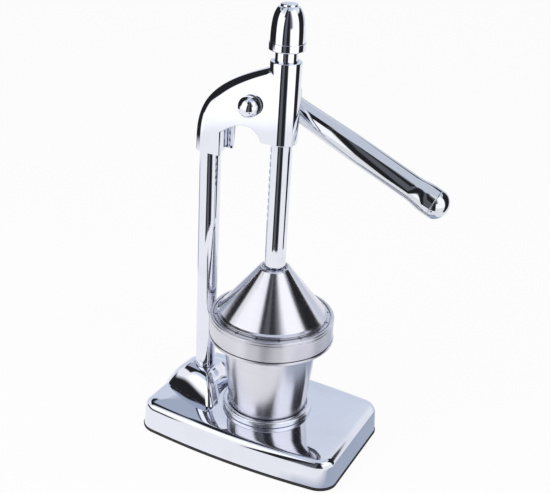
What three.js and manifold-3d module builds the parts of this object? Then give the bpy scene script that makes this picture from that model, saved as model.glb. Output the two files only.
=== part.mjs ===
// Lever citrus juice press: chromed stand, rack and pinion head, press bell,
// strainer, funnel and cup.
// Millimetres, +Z up. The origin is the centre of the rubber mat's underside.
// +X runs from the post towards the rod and the lever's grip, -Y is the near side.

import * as THREE from 'three';
import { mergeVertices } from 'three/addons/utils/BufferGeometryUtils.js';
import Module from 'manifold-3d';

const wasm = await Module();
wasm.setup();

// Fits shared by the whole press
const seat_gap = 0.3;
const running_gap = 0.3;
const overrun = 2;

// Facets of round work
const sides_large = 40;
const sides_rod = 28;
const sides_small = 20;
const sides_hole = 6;
const fillet_steps = 3;

// Base pan: pressed steel with bowed long sides
const base_length = 189;
const base_offset_share = 0.032;
const base_width = 126;
const base_side_bow = 6.4;
const base_corner_radius = 15;
const base_height = 27.5;
const base_edge_radius = 5;
const base_side_draft = 1.2;
const pan_wall = 1.5;
const corner_steps = 6;
const long_side_steps = 8;

// Rubber mat that closes the pan from below
const mat_thickness = 2.7;
const mat_lip = 0.6;
const mat_upstand = 5;
const mat_upstand_wall = 3;

// Stiffener plate under the pan's top
const stiffener_end_margin = 14.5;
const stiffener_side_margin = 28;
const stiffener_thickness = 2.5;
const stiffener_corner = 10;

// Dome under the post: a hollow casting, scalloped in front to clear the cup ring
const dome_rise = 20.9;
const dome_wall = 3;
const dome_rim = 0.5;
const dome_pad_radius = 10;
const dome_fall_power = 2;
const dome_rear_reach = 32.5;
const dome_rear_half_width = 19.2;
const dome_rear_corner = 12;
const dome_front_reach = 26;
const dome_front_half_width = 35.4;
const dome_front_corner = 5;
const dome_ring_margin = 4.3;
const dome_scallop_angle = 32 * Math.PI / 180;
const dome_corner_steps = 4;
const dome_scallop_steps = 8;
const dome_side_steps = 6;
const dome_rings = 7;

// Post
const post_inset = 35.5;
const post_reach = 207.4;
const post_diameter = 18;
const post_wall = 1.5;
const post_socket_depth = 18;
const foot_plug_length = 22;
const post_bolt_diameter = 8;
const post_bolt_grip = 16;
const post_bolt_head_across = 15;
const post_bolt_head_height = 5.3;
const post_washer_diameter = 24;
const post_washer_thickness = 2;

// Head casting: two walls bridged over the pinion, a post socket and a rod guide
const head_width = 25;
const head_wall = 3;
const head_edge_radius = 6;
const leg_edge_radius = 11.7;
const arch_edge_radius = 0.9;
const leg_wall = 2.4;
const leg_inner_reach = 15.5;
const leg_straight = 5.6;
const leg_inner_height = 19.6;
const shoulder_rise = 79.2;
const arch_rise = 29.6;
const guide_radius = 12.7;
const guide_rise = 18.2;
const guide_length = 65.9;
const guide_chamfer = 0.8;
const pinion_clearance = 0.8;
const set_screw_diameter = 6;
const set_screw_height = 16;

// Where the shoulder's and the arch's curves pull towards, across and up their spans
const shoulder_pull_share = 0.5;
const shoulder_lean_share = 0.25;
const shoulder_crown_share = 0.75;
const arch_crown_share = 0.59;
const arch_left_lean_share = 0.15;
const arch_left_rise_share = 0.36;
const arch_left_crown_share = 0.36;
const arch_right_crown_share = 0.51;
const arch_right_drop_share = 0.55;
const arch_right_lean_share = 0.15;
const leg_blend_share = 0.5;
const shoulder_steps = 12;
const arch_steps = 6;

// Rack and pinion
const gear_module = 2;
const pinion_teeth = 16;
const pinion_width = 13.6;
const gear_backlash = 0.4;
const pressure_angle = 20 * Math.PI / 180;
const addendum_share = 1;
const dedendum_share = 1.25;
const flank_steps = 4;
const shaft_rise = 47;
const rack_gaps_above = 2;
const rack_gaps_below = 15;

// Shaft, its bushes and its nut
const shaft_diameter = 12;
const shaft_thread_diameter = 8;
const shaft_square = 8.8;
const bush_wall = 2;
const bush_flange_diameter = 21;
const bush_flange_thickness = 1.5;
const near_washer_diameter = 16;
const near_washer_thickness = 1.2;
const dome_nut_diameter = 17.6;
const dome_nut_skirt = 2;
const dome_nut_height = 9;
const pinion_pin_diameter = 3;

// Lever
const lever_angle = 24 * Math.PI / 180;
const lever_length = 170;
const lever_hub_radius = 20;
const lever_hub_thickness = 21;
const lever_hub_edge = 3;
const lever_boss_radius = 12;
const lever_boss_length = 7;
const thrust_washer_thickness = 1;
const thrust_washer_diameter = 23;
const lever_root_radius = 9.4;
const lever_grip_radius = 10.7;
const lever_end_radius = 12.4;
const lever_cap_length = 12;
const lever_flare_length = 22;
const lever_bore_radius = 8;
const lever_bore_depth = 26;
const lever_plug_length = 16;
const lever_arm_start_share = 0.4;
const lever_swell_share = 0.6;
const lever_screw_diameter = 6;
const lever_screw_length = 14;
const lever_screw_head_diameter = 11;
const lever_screw_head_height = 3.6;
const lever_washer_diameter = 18;
const lever_washer_thickness = 1.5;

// Rack rod and knob
const rod_diameter = 18;
const rod_chamfer = 0.8;
const knob_lift = 8.3;
const knob_skirt_radius = 14.4;
const knob_skirt_height = 6.4;
const knob_body_radius = 13.7;
const knob_crown_radius = 8.6;
const knob_cap_radius = 6.8;
const knob_cap_height = 3.2;
const knob_height = 36.2;
const knob_socket_depth = 8;
const knob_edge = 1.2;
const stud_diameter = 8;
const stud_grip = 14;

// Press bell: a spun cone that hangs on the rod by its screw
const bell_wall = 1.2;
const bell_rim_radius = 47.3;
const bell_rest_gap = 1.4;
const bell_height = 40.8;
const bell_lip_height = 1.5;
const bell_cone_radius = 45.3;
const bell_lip_flare = 2.8;
const bell_shoulder_radius = 13.4;
const bell_shoulder_lift = 2.3;
const bell_shoulder_rise = 0.9;
const bell_dish_radius = 10.6;
const bell_spacer_height = 4.4;
const bell_spacer_radius = 7.6;
const bell_screw_diameter = 6;
const bell_screw_grip = 16;
const bell_screw_head_diameter = 11;
const bell_screw_head_height = 4;
const bell_washer_diameter = 17;
const bell_washer_thickness = 1.2;

// Strainer: a dish with a fluted reamer
const strainer_wall = 0.9;
const strainer_flange_radius = 50.2;
const strainer_mouth_radius = 45.8;
const strainer_floor_radius = 43;
const strainer_depth = 11.8;
const reamer_base_radius = 35;
const reamer_top_radius = 6;
const reamer_rise = 40;
const reamer_tip_rise = 2.4;
const reamer_flutes = 8;
const reamer_flute_depth = 1.6;
const strainer_hole_diameter = 2.2;
const rim_holes = 16;
const rim_hole_circle = 48.3;
const floor_holes = 16;
const reamer_hole_rows = 2;
const reamer_hole_count = 12;
const reamer_hole_first_share = 0.14;
const reamer_hole_step_share = 0.16;

// Funnel: a band, a collar on the cup's rim, and a drip cone with its spout
const funnel_wall = 1;
const funnel_skirt_drop = 3.1;
const funnel_band_radius = 53.6;
const funnel_lip_radius = 54.3;
const funnel_lip_height = 1.8;
const funnel_groove_rise = 14.9;
const funnel_ledge_rise = 16.1;
const funnel_groove_depth = 0.7;
const funnel_bead_height = 3;
const funnel_bead_width = 2.8;
const funnel_ledge_radius = 48.4;
const funnel_seat_margin = 1.5;
const funnel_cone_drop = 13.5;
const funnel_spout_radius = 9.2;
const funnel_spout_length = 6;
const funnel_spout_flare = 3;

// Cup and the ring that locates it on the base
const cup_wall = 1;
const cup_bottom_radius = 34.1;
const cup_top_radius = 41.6;
const cup_height = 74.4;
const cup_corner_radius = 3;
const cup_rim_bead = 1;
const ring_outer_radius = 40;
const ring_inner_clearance = 1.2;
const ring_height = 5.2;
const ring_edge_radius = 2.2;

// Places worked out from the sizes above: along the base
const base_offset = -base_length * base_offset_share;
const post_x = base_offset - base_length / 2 + post_inset;
const post_radius = post_diameter / 2;
const post_bore = post_radius + seat_gap;
const leg_outer_x = post_x - post_bore - leg_wall;
const leg_inner_x = post_x + leg_inner_reach;
const rod_radius = rod_diameter / 2;
const rod_bore = rod_radius + running_gap;
const tooth_pitch = Math.PI * gear_module;
const pitch_radius = gear_module * pinion_teeth / 2;
const rack_pitch_x = -(rod_radius - gear_module * addendum_share);
const shaft_x = rack_pitch_x - pitch_radius;
const shaft_radius = shaft_diameter / 2;

// Across the press
const face_y = head_width / 2;
const cavity_y = face_y - head_wall;
const lever_near_y = face_y + thrust_washer_thickness + lever_boss_length + 2 * seat_gap;
const lever_mid_y = lever_near_y + lever_hub_thickness / 2;
const lever_far_y = lever_near_y + lever_hub_thickness;

// Up from the base to the head
const pan_bottom = mat_thickness + seat_gap;
const pan_ceiling = base_height - pan_wall;
const dome_seat = base_height + seat_gap;
const dome_top = dome_seat + dome_rise;
const post_bottom = dome_top + seat_gap;
const leg_bottom = post_bottom + post_reach;
const post_top = leg_bottom + post_socket_depth;
const arch_top = leg_bottom + arch_rise;
const shoulder_top = leg_bottom + shoulder_rise;
const guide_bottom = leg_bottom + guide_rise;
const guide_top = guide_bottom + guide_length;
const shaft_height = leg_bottom + shaft_rise;
const knob_bottom = guide_top + knob_lift;
const rod_top = knob_bottom + knob_socket_depth - seat_gap;

// Up through the cup, funnel, strainer and bell
const cup_top = base_height + seat_gap + cup_height;
const funnel_seat = cup_top + seat_gap;
const funnel_ledge = funnel_seat + funnel_ledge_rise;
const funnel_seat_outer = cup_top_radius + cup_rim_bead + funnel_seat_margin;
const funnel_seat_inner = cup_top_radius - cup_wall - funnel_seat_margin;
const strainer_flange_height = funnel_ledge + seat_gap + strainer_wall;
const strainer_floor_height = strainer_flange_height - strainer_depth;
const reamer_height = strainer_floor_height + reamer_rise;
const bell_rim_height = strainer_flange_height + bell_rest_gap;
const bell_dish_floor = bell_rim_height + bell_height;
const rod_end = bell_dish_floor + bell_spacer_height;

// Finishes
const chrome = new THREE.MeshStandardMaterial({ color: 0xd9dce3, roughness: 0.06, metalness: 1 });
const satin = new THREE.MeshStandardMaterial({ color: 0xc9c8cb, roughness: 0.22, metalness: 1 });
const steel = new THREE.MeshStandardMaterial({ color: 0x9a9ca0, roughness: 0.4, metalness: 1 });
const bronze = new THREE.MeshStandardMaterial({ color: 0xa9824a, roughness: 0.4, metalness: 1 });
const rubber = new THREE.MeshStandardMaterial({ color: 0x1c1b1d, roughness: 0.85, metalness: 0 });

const press = new THREE.Group();
const frame = new THREE.Group();
const lever = new THREE.Group();
const rod = new THREE.Group();
const bell = new THREE.Group();
press.add(frame, lever, rod, bell);

function piece(group, name, geometry, material) {
  const mesh = new THREE.Mesh(geometry, material);
  mesh.name = name;
  group.add(mesh);
  return mesh;
}

// Turns a closed geometry into a manifold solid with its faces outwards
function solid(geometry) {
  const bare = new THREE.BufferGeometry();
  bare.setAttribute('position', geometry.getAttribute('position').clone());
  if (geometry.index) bare.setIndex(geometry.index.clone());
  const merged = mergeVertices(bare);
  const points = merged.getAttribute('position').array;
  const corners = [];
  const index = merged.index.array;
  for (let i = 0; i < index.length; i += 3) {
    const [a, b, c] = [index[i], index[i + 1], index[i + 2]];
    if (a !== b && b !== c && a !== c) corners.push(a, b, c);
  }
  if (signedVolume(points, corners) < 0) corners.reverse();
  return new wasm.Manifold(new wasm.Mesh({
    numProp: 3,
    vertProperties: new Float32Array(points),
    triVerts: new Uint32Array(corners),
  }));
}

function signedVolume(points, corners) {
  const at = (i) => new THREE.Vector3().fromArray(points, 3 * i);
  let total = 0;
  for (let i = 0; i < corners.length; i += 3) {
    total += at(corners[i]).dot(at(corners[i + 1]).cross(at(corners[i + 2])));
  }
  return total;
}

function shell(body) {
  const mesh = body.getMesh();
  const geometry = new THREE.BufferGeometry();
  geometry.setAttribute('position', new THREE.BufferAttribute(new Float32Array(mesh.vertProperties), 3));
  geometry.setIndex(Array.from(mesh.triVerts));
  geometry.computeVertexNormals();
  return geometry;
}

function join(first, ...others) {
  let body = solid(first);
  for (const other of others) body = body.add(solid(other));
  return shell(body);
}

function cut(first, ...others) {
  let body = solid(first);
  for (const other of others) body = body.subtract(solid(other));
  return shell(body);
}

// Turned work: a profile of [radius, height] revolved about the Z axis
function turned(profile, sides = sides_large) {
  const points = profile.map(([r, z]) => new THREE.Vector2(r, z));
  const geometry = new THREE.LatheGeometry(points, sides);
  geometry.rotateX(Math.PI / 2);
  return shell(solid(geometry));
}

// A ring profile that closes on itself
function turnedRing(profile, sides = sides_large) {
  return turned([...profile, profile[0]], sides);
}

function disc(radius, bottom, top, sides = sides_small) {
  return turned([[0, bottom], [radius, bottom], [radius, top], [0, top]], sides);
}

function washer(inner, outer, bottom, top, sides = sides_small) {
  return turnedRing([[inner, bottom], [outer, bottom], [outer, top], [inner, top]], sides);
}

// Lays turned work along the shaft: its Z becomes +Y through the shaft's centre
function alongShaft(geometry) {
  geometry.rotateX(-Math.PI / 2);
  geometry.translate(shaft_x, 0, shaft_height);
  return geometry;
}

// A flat outline of [x, y] points raised from bottom to top
function raised(outline, bottom, top) {
  const shape = new THREE.Shape(outline.map(([x, y]) => new THREE.Vector2(x, y)));
  const geometry = new THREE.ExtrudeGeometry(shape, { depth: top - bottom, bevelEnabled: false });
  geometry.translate(0, 0, bottom);
  return geometry;
}

// An outline of [x, z] points carried across from y = near to y = far
function across(outline, near, far) {
  const geometry = raised(outline, near, far);
  geometry.rotateX(Math.PI / 2);
  geometry.scale(1, -1, 1);
  return shell(solid(geometry));
}

function polygon(sides, radius, turn = 0) {
  return Array.from({ length: sides }, (_, i) => {
    const angle = turn + 2 * Math.PI * i / sides;
    return [radius * Math.cos(angle), radius * Math.sin(angle)];
  });
}

// Rings of equal point counts skinned into one body, each end closed from its middle
function lofted(rings) {
  const count = rings[0].length;
  const positions = [];
  const index = [];
  for (const ring of rings) for (const point of ring) positions.push(...point);
  for (let r = 0; r + 1 < rings.length; r++) {
    for (let i = 0; i < count; i++) {
      const j = (i + 1) % count;
      const [a, b] = [r * count + i, r * count + j];
      index.push(a, b, a + count, b, b + count, a + count);
    }
  }
  closeEnd(positions, index, rings[0], 0, true);
  closeEnd(positions, index, rings.at(-1), (rings.length - 1) * count, false);
  const geometry = new THREE.BufferGeometry();
  geometry.setAttribute('position', new THREE.Float32BufferAttribute(positions, 3));
  geometry.setIndex(index);
  return geometry;
}

function closeEnd(positions, index, ring, start, first) {
  const middle = [0, 1, 2].map((k) => ring.reduce((sum, point) => sum + point[k], 0) / ring.length);
  const centre = positions.length / 3;
  positions.push(...middle);
  for (let i = 0; i < ring.length; i++) {
    const [a, b] = [start + i, start + (i + 1) % ring.length];
    if (first) index.push(b, a, centre);
    else index.push(a, b, centre);
  }
}

// The same for outlines that bend inwards: the ends are triangulated in the X-Z plane
function loftedPlate(rings) {
  const count = rings[0].length;
  const positions = [];
  const index = [];
  for (const ring of rings) for (const point of ring) positions.push(...point);
  for (let r = 0; r + 1 < rings.length; r++) {
    for (let i = 0; i < count; i++) {
      const j = (i + 1) % count;
      const [a, b] = [r * count + i, r * count + j];
      index.push(a, b, a + count, b, b + count, a + count);
    }
  }
  const flat = (ring) => ring.map(([x, , z]) => new THREE.Vector2(x, z));
  for (const [a, b, c] of THREE.ShapeUtils.triangulateShape(flat(rings[0]), [])) index.push(c, b, a);
  const last = (rings.length - 1) * count;
  for (const [a, b, c] of THREE.ShapeUtils.triangulateShape(flat(rings.at(-1)), [])) {
    index.push(last + a, last + b, last + c);
  }
  const geometry = new THREE.BufferGeometry();
  geometry.setAttribute('position', new THREE.Float32BufferAttribute(positions, 3));
  geometry.setIndex(index);
  return geometry;
}

function bezier(from, pull_a, pull_b, to, steps) {
  const controls = [from, pull_a, pull_b, to].map(([x, y]) => new THREE.Vector2(x, y));
  const curve = new THREE.CubicBezierCurve(...controls);
  return curve.getPoints(steps).map((point) => [point.x, point.y]);
}

// The base's plan, drawn in by an inset: round corners, and long sides that bow outwards
function basePlan(inset, height) {
  const half_length = base_length / 2 - inset;
  const half_width = base_width / 2 - inset;
  const radius = Math.max(base_corner_radius - inset, base_edge_radius / 2);
  const ring = [];
  const corners = [[1, -1], [1, 1], [-1, 1], [-1, -1]];
  corners.forEach(([sx, sy], quarter) => {
    const start = (quarter - 1) * Math.PI / 2;
    for (let i = 0; i <= corner_steps; i++) {
      const angle = start + i / corner_steps * Math.PI / 2;
      ring.push([
        sx * (half_length - radius) + radius * Math.cos(angle),
        sy * (half_width - radius) + radius * Math.sin(angle),
      ]);
    }
    if (sx === sy) {
      for (let i = 1; i < long_side_steps; i++) {
        const x = sx * (half_length - radius) * (1 - 2 * i / long_side_steps);
        ring.push([x, sy * half_width]);
      }
    }
  });
  return ring.map(([x, y]) => {
    const bow = 1 - base_side_bow / (base_width / 2) * (x / (base_length / 2)) ** 2;
    return [x + base_offset, y * bow, height];
  });
}

// Base
function panSkin(inset, bottom, top) {
  const radius = base_edge_radius - inset;
  const rings = [basePlan(inset, bottom)];
  for (let i = 0; i <= fillet_steps + 1; i++) {
    const angle = i / (fillet_steps + 1) * Math.PI / 2;
    const drawn_in = inset + base_side_draft + radius * (1 - Math.cos(angle));
    rings.push(basePlan(drawn_in, top - radius * (1 - Math.sin(angle))));
  }
  return lofted(rings);
}

function postHole(bottom, top) {
  const hole = disc(post_bolt_diameter / 2 + seat_gap, bottom, top);
  hole.translate(post_x, 0, 0);
  return hole;
}

function makeBase() {
  const outer = panSkin(0, pan_bottom, base_height);
  const inner = panSkin(pan_wall, pan_bottom - overrun, pan_ceiling);
  piece(frame, 'base_pan', cut(outer, inner, postHole(pan_bottom, base_height + overrun)), chrome);

  const plate = lofted([basePlan(-mat_lip, 0), basePlan(-mat_lip, mat_thickness)]);
  const hug = pan_wall + seat_gap + base_side_draft * mat_upstand / (base_height - base_edge_radius);
  const upstand = lofted([
    basePlan(hug, mat_thickness - overrun / 2),
    basePlan(hug, mat_thickness + mat_upstand),
  ]);
  const well = lofted([
    basePlan(hug + mat_upstand_wall, mat_thickness),
    basePlan(hug + mat_upstand_wall, mat_thickness + mat_upstand + overrun),
  ]);
  piece(frame, 'base_mat', cut(join(plate, upstand), well), rubber);

  const plate_top = pan_ceiling - seat_gap;
  const plate_bottom = plate_top - stiffener_thickness;
  const half_length = base_length / 2 - stiffener_end_margin;
  const half_width = base_width / 2 - stiffener_side_margin;
  const outline = [];
  for (const [sx, sy, quarter] of [[1, -1, -1], [1, 1, 0], [-1, 1, 1], [-1, -1, 2]]) {
    for (let i = 0; i <= fillet_steps; i++) {
      const angle = (quarter + i / fillet_steps) * Math.PI / 2;
      outline.push([
        sx * (half_length - stiffener_corner) + stiffener_corner * Math.cos(angle),
        sy * (half_width - stiffener_corner) + stiffener_corner * Math.sin(angle),
      ]);
    }
  }
  const plate_blank = raised(outline, plate_bottom, plate_top);
  plate_blank.translate(base_offset, 0, 0);
  const stiffener = cut(plate_blank, postHole(plate_bottom - overrun, plate_top + overrun));
  piece(frame, 'stiffener_plate', stiffener, steel);
  makePostFixing(plate_bottom - seat_gap);
}

// The bolt comes up through the washer, plate and pan into the plug in the tube's foot
function makePostFixing(under_plate) {
  const washer_bottom = under_plate - post_washer_thickness;
  const hole = post_bolt_diameter / 2 + seat_gap;
  const ring = washer(hole, post_washer_diameter / 2, washer_bottom, under_plate);
  ring.translate(post_x, 0, 0);
  piece(frame, 'post_washer', ring, steel);

  const head_top = washer_bottom - seat_gap;
  const head_bottom = head_top - post_bolt_head_height;
  const head_radius = post_bolt_head_across / Math.sqrt(3);
  const shank_top = post_bottom + post_bolt_grip;
  const bolt = join(
    raised(polygon(6, head_radius), head_bottom, head_top),
    disc(post_bolt_diameter / 2, head_bottom + seat_gap, shank_top),
  );
  bolt.translate(post_x, 0, 0);
  piece(frame, 'post_bolt', bolt, steel);

  const plug_radius = post_radius - post_wall - seat_gap;
  const plug = washer(hole, plug_radius, post_bottom, post_bottom + foot_plug_length);
  plug.translate(post_x, 0, 0);
  piece(frame, 'post_foot_plug', plug, steel);
}

// A plan through corners given as x, y and the radius that rounds each one
function rounded(corners, steps) {
  const points = corners.map(([x, y]) => new THREE.Vector2(x, y));
  const plan = [];
  corners.forEach(([, , radius], i) => {
    const corner = points[i];
    if (radius === 0) {
      plan.push(corner);
      return;
    }
    const to_last = points.at(i - 1).clone().sub(corner).normalize();
    const to_next = points[(i + 1) % points.length].clone().sub(corner).normalize();
    const half = to_last.angleTo(to_next) / 2;
    const inward = to_last.clone().add(to_next).normalize();
    const centre = corner.clone().addScaledVector(inward, radius / Math.sin(half));
    const first = corner.clone().addScaledVector(to_last, radius / Math.tan(half));
    for (let k = 0; k <= steps; k++) {
      plan.push(first.clone().rotateAround(centre, (Math.PI - 2 * half) * k / steps));
    }
  });
  return plan;
}

// The dome's plan about the post: it widens towards the cup and is hollowed round the ring
function domePlan() {
  const corners = [[-dome_rear_reach, -dome_rear_half_width, dome_rear_corner]];
  for (let i = 1; i < dome_side_steps; i++) {
    const share = i / dome_side_steps;
    const x = THREE.MathUtils.lerp(-dome_rear_reach, dome_front_reach, share);
    const y = THREE.MathUtils.lerp(dome_rear_half_width, dome_front_half_width, share);
    const clear = Math.min(share, 1 - share) > 1 / dome_side_steps;
    if (clear) corners.push([x, -y, 0]);
  }
  corners.push([dome_front_reach, -dome_front_half_width, dome_front_corner]);
  const scallop_radius = ring_outer_radius + dome_ring_margin;
  for (let k = 0; k <= dome_scallop_steps / 2; k++) {
    const angle = dome_scallop_angle * (1 - 2 * k / dome_scallop_steps);
    corners.push([-post_x - scallop_radius * Math.cos(angle), -scallop_radius * Math.sin(angle), 0]);
  }
  const far = corners.slice(0, -1).reverse().map(([x, y, radius]) => [x, -y, radius]);
  return rounded([...corners, ...far], dome_corner_steps);
}

function domeSkin(inset, bottom, top) {
  const plan = domePlan().map((point) => {
    const reach = Math.max(point.length() - inset, dome_pad_radius + dome_rim);
    return [point.clone().normalize(), reach];
  });
  const ring = (share, height) => plan.map(([way, reach]) => {
    const radius = THREE.MathUtils.lerp(dome_pad_radius, reach, share);
    return [post_x + way.x * radius, way.y * radius, height];
  });
  const shoulder = dome_seat + dome_rim;
  const rings = [ring(1, bottom)];
  for (let i = 0; i <= dome_rings; i++) {
    const share = Math.sqrt(1 - i / dome_rings);
    rings.push(ring(share, THREE.MathUtils.lerp(shoulder, top, 1 - share ** dome_fall_power)));
  }
  return lofted(rings);
}

function makeDome() {
  const outer = domeSkin(0, dome_seat, dome_top);
  const hollow = domeSkin(dome_wall, dome_seat - overrun, dome_top - dome_wall);
  const column = disc(dome_pad_radius, dome_seat - 2 * overrun, dome_top);
  column.translate(post_x, 0, 0);
  const bolt_hole = postHole(dome_seat - overrun, dome_top + overrun);
  piece(frame, 'post_dome', cut(outer, cut(hollow, column), bolt_hole), chrome);
}

function makePost() {
  const tube = washer(post_radius - post_wall, post_radius, post_bottom, post_top, sides_rod);
  tube.translate(post_x, 0, 0);
  piece(frame, 'post_tube', tube, chrome);
}

// Head casting
function shoulderCurve() {
  const from = [leg_outer_x, leg_bottom + leg_straight];
  const to = [-guide_radius * Math.SQRT1_2, shoulder_top];
  const span_x = to[0] - from[0];
  const span_z = to[1] - from[1];
  return bezier(
    from,
    [from[0], from[1] + shoulder_pull_share * span_z],
    [from[0] + shoulder_lean_share * span_x, from[1] + shoulder_crown_share * span_z],
    to,
    shoulder_steps,
  );
}

function archCurve() {
  const left = [leg_inner_x, leg_bottom + leg_inner_height];
  const right = [-guide_radius - seat_gap, guide_bottom];
  const crown = [right[0] + (left[0] - right[0]) * (1 - arch_crown_share), arch_top];
  const left_run = crown[0] - left[0];
  const right_run = right[0] - crown[0];
  const left_rise = crown[1] - left[1];
  const right_rise = crown[1] - right[1];
  const falling = bezier(
    right,
    [right[0] - arch_right_lean_share * right_run, right[1] + arch_right_drop_share * right_rise],
    [crown[0] + arch_right_crown_share * right_run, crown[1]],
    crown,
    arch_steps,
  );
  const rising = bezier(
    crown,
    [crown[0] - arch_left_crown_share * left_run, crown[1]],
    [left[0] + arch_left_lean_share * left_run, left[1] + arch_left_rise_share * left_rise],
    left,
    arch_steps,
  );
  return [...falling, ...rising.slice(1)];
}

// Draws an outline in along its own normals, each point by its own inset
function drawnIn(outline, insets) {
  const count = outline.length;
  return outline.map((point, i) => {
    const before = outline[(i + count - 1) % count];
    const after = outline[(i + 1) % count];
    const first = new THREE.Vector2(point[0] - before[0], point[1] - before[1]).normalize();
    const second = new THREE.Vector2(after[0] - point[0], after[1] - point[1]).normalize();
    const normal = first.clone().add(second).normalize();
    const stretch = 1 / Math.max(normal.dot(second), Math.SQRT1_2);
    return [point[0] - normal.y * insets[i] * stretch, point[1] + normal.x * insets[i] * stretch];
  });
}

// The casting's solid form: its edges are full round at the leg, smaller over the shoulder
function headPlate() {
  const beyond = 2 * head_edge_radius;
  const shoulder = shoulderCurve();
  const arch = archCurve();
  const outline = [
    ...shoulder, [beyond, shoulder_top], [beyond, guide_bottom], ...arch,
    [leg_inner_x, leg_bottom - beyond], [leg_outer_x, leg_bottom - beyond],
  ].reverse();
  const shoulder_radii = shoulder.map((_, i) => {
    const blend = THREE.MathUtils.smoothstep(i / shoulder_steps, 0, leg_blend_share);
    return THREE.MathUtils.lerp(leg_edge_radius, head_edge_radius, blend);
  });
  const radii = [
    ...shoulder_radii, head_edge_radius, arch_edge_radius,
    ...arch.map(() => arch_edge_radius), arch_edge_radius, leg_edge_radius,
  ].reverse();
  const rings = [];
  for (const side of [-1, 1]) {
    for (let i = 0; i <= fillet_steps; i++) {
      const step = side < 0 ? fillet_steps - i : i;
      const angle = step / fillet_steps * Math.PI / 2;
      const insets = radii.map((radius) => radius * (1 - Math.cos(angle)));
      const depths = radii.map((radius) => side * (face_y - radius * (1 - Math.sin(angle))));
      rings.push(drawnIn(outline, insets).map(([x, z], k) => [x, depths[k], z]));
    }
  }
  const kept = new THREE.BoxGeometry(-leg_outer_x + overrun, head_width + overrun, guide_top - leg_bottom);
  kept.translate((leg_outer_x - overrun) / 2, 0, (guide_top + leg_bottom) / 2);
  return shell(solid(loftedPlate(rings)).intersect(solid(kept)));
}

// The hollow between the walls, open underneath
function headCavity() {
  const floor = leg_bottom - overrun;
  const shoulder = shoulderCurve();
  const walled = shoulder.map((point, i) => {
    const before = shoulder[Math.max(i - 1, 0)];
    const after = shoulder[Math.min(i + 1, shoulder.length - 1)];
    const along = new THREE.Vector2(after[0] - before[0], after[1] - before[1]).normalize();
    return [point[0] + along.y * head_wall, point[1] - along.x * head_wall];
  });
  const ceiling = walled.at(-1);
  const outline = [[walled[0][0], floor], ...walled, [ceiling[0], floor]];
  return across(outline, -cavity_y, cavity_y);
}

function uprightCylinder(x, radius, bottom, top, chamfer, sides) {
  const body = turned([
    [0, bottom], [radius - chamfer, bottom], [radius, bottom + chamfer],
    [radius, top - chamfer], [radius - chamfer, top], [0, top],
  ], sides);
  body.translate(x, 0, 0);
  return body;
}

function makeHead() {
  const skin = headPlate();
  const walls = cut(skin, headCavity());
  const collar = uprightCylinder(post_x, post_bore + leg_wall, leg_bottom, post_top + seat_gap + head_wall, 0, sides_rod);
  const leg_boss = shell(solid(collar).intersect(solid(skin)));
  const guide = uprightCylinder(0, guide_radius, guide_bottom, guide_top, guide_chamfer, sides_rod);
  const socket_roof = post_top + seat_gap;
  const post_way = uprightCylinder(post_x, post_bore, leg_bottom - overrun, socket_roof, 0, sides_rod);
  const rod_way = uprightCylinder(0, rod_bore, guide_bottom - overrun, guide_top + overrun, 0, sides_rod);
  const relief_radius = pitch_radius + gear_module * addendum_share + pinion_clearance;
  const relief = alongShaft(disc(relief_radius, -pinion_width / 2 - pinion_clearance,
    pinion_width / 2 + pinion_clearance, sides_rod));
  const bush_way = alongShaft(disc(shaft_radius + running_gap + bush_wall + seat_gap, -face_y - overrun,
    face_y + overrun));
  const screw_way = disc(set_screw_diameter / 2 + seat_gap, post_radius, face_y + overrun);
  screw_way.rotateX(-Math.PI / 2);
  screw_way.translate(post_x, 0, leg_bottom + set_screw_height);
  const casting = cut(join(walls, leg_boss, guide), post_way, rod_way, relief, bush_way, screw_way);
  piece(frame, 'head_casting', casting, chrome);

  const screw = disc(set_screw_diameter / 2, post_radius + seat_gap, face_y - seat_gap);
  screw.rotateX(-Math.PI / 2);
  screw.translate(post_x, 0, leg_bottom + set_screw_height);
  piece(frame, 'head_set_screw', screw, steel);
}

// Bronze bushes in the head's two walls, flanges inwards against the pinion
function makeBushes() {
  const bore = shaft_radius + running_gap;
  const flange_face = cavity_y - seat_gap;
  const flange_back = flange_face - bush_flange_thickness;
  const flange_radius = bush_flange_diameter / 2;
  for (const [name, side] of [['near_bush', -1], ['far_bush', 1]]) {
    const profile = [
      [bore, flange_back], [flange_radius, flange_back],
      [flange_radius, flange_face], [bore + bush_wall, flange_face],
      [bore + bush_wall, face_y], [bore, face_y],
    ];
    const bush = turnedRing(profile.map(([r, z]) => [r, side * z]), sides_small);
    piece(frame, name, alongShaft(bush), bronze);
  }
}

// Rack and pinion
function involute(base, radius) {
  const unwound = Math.sqrt(Math.max(radius * radius / (base * base) - 1, 0));
  return unwound - Math.atan(unwound);
}

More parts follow.
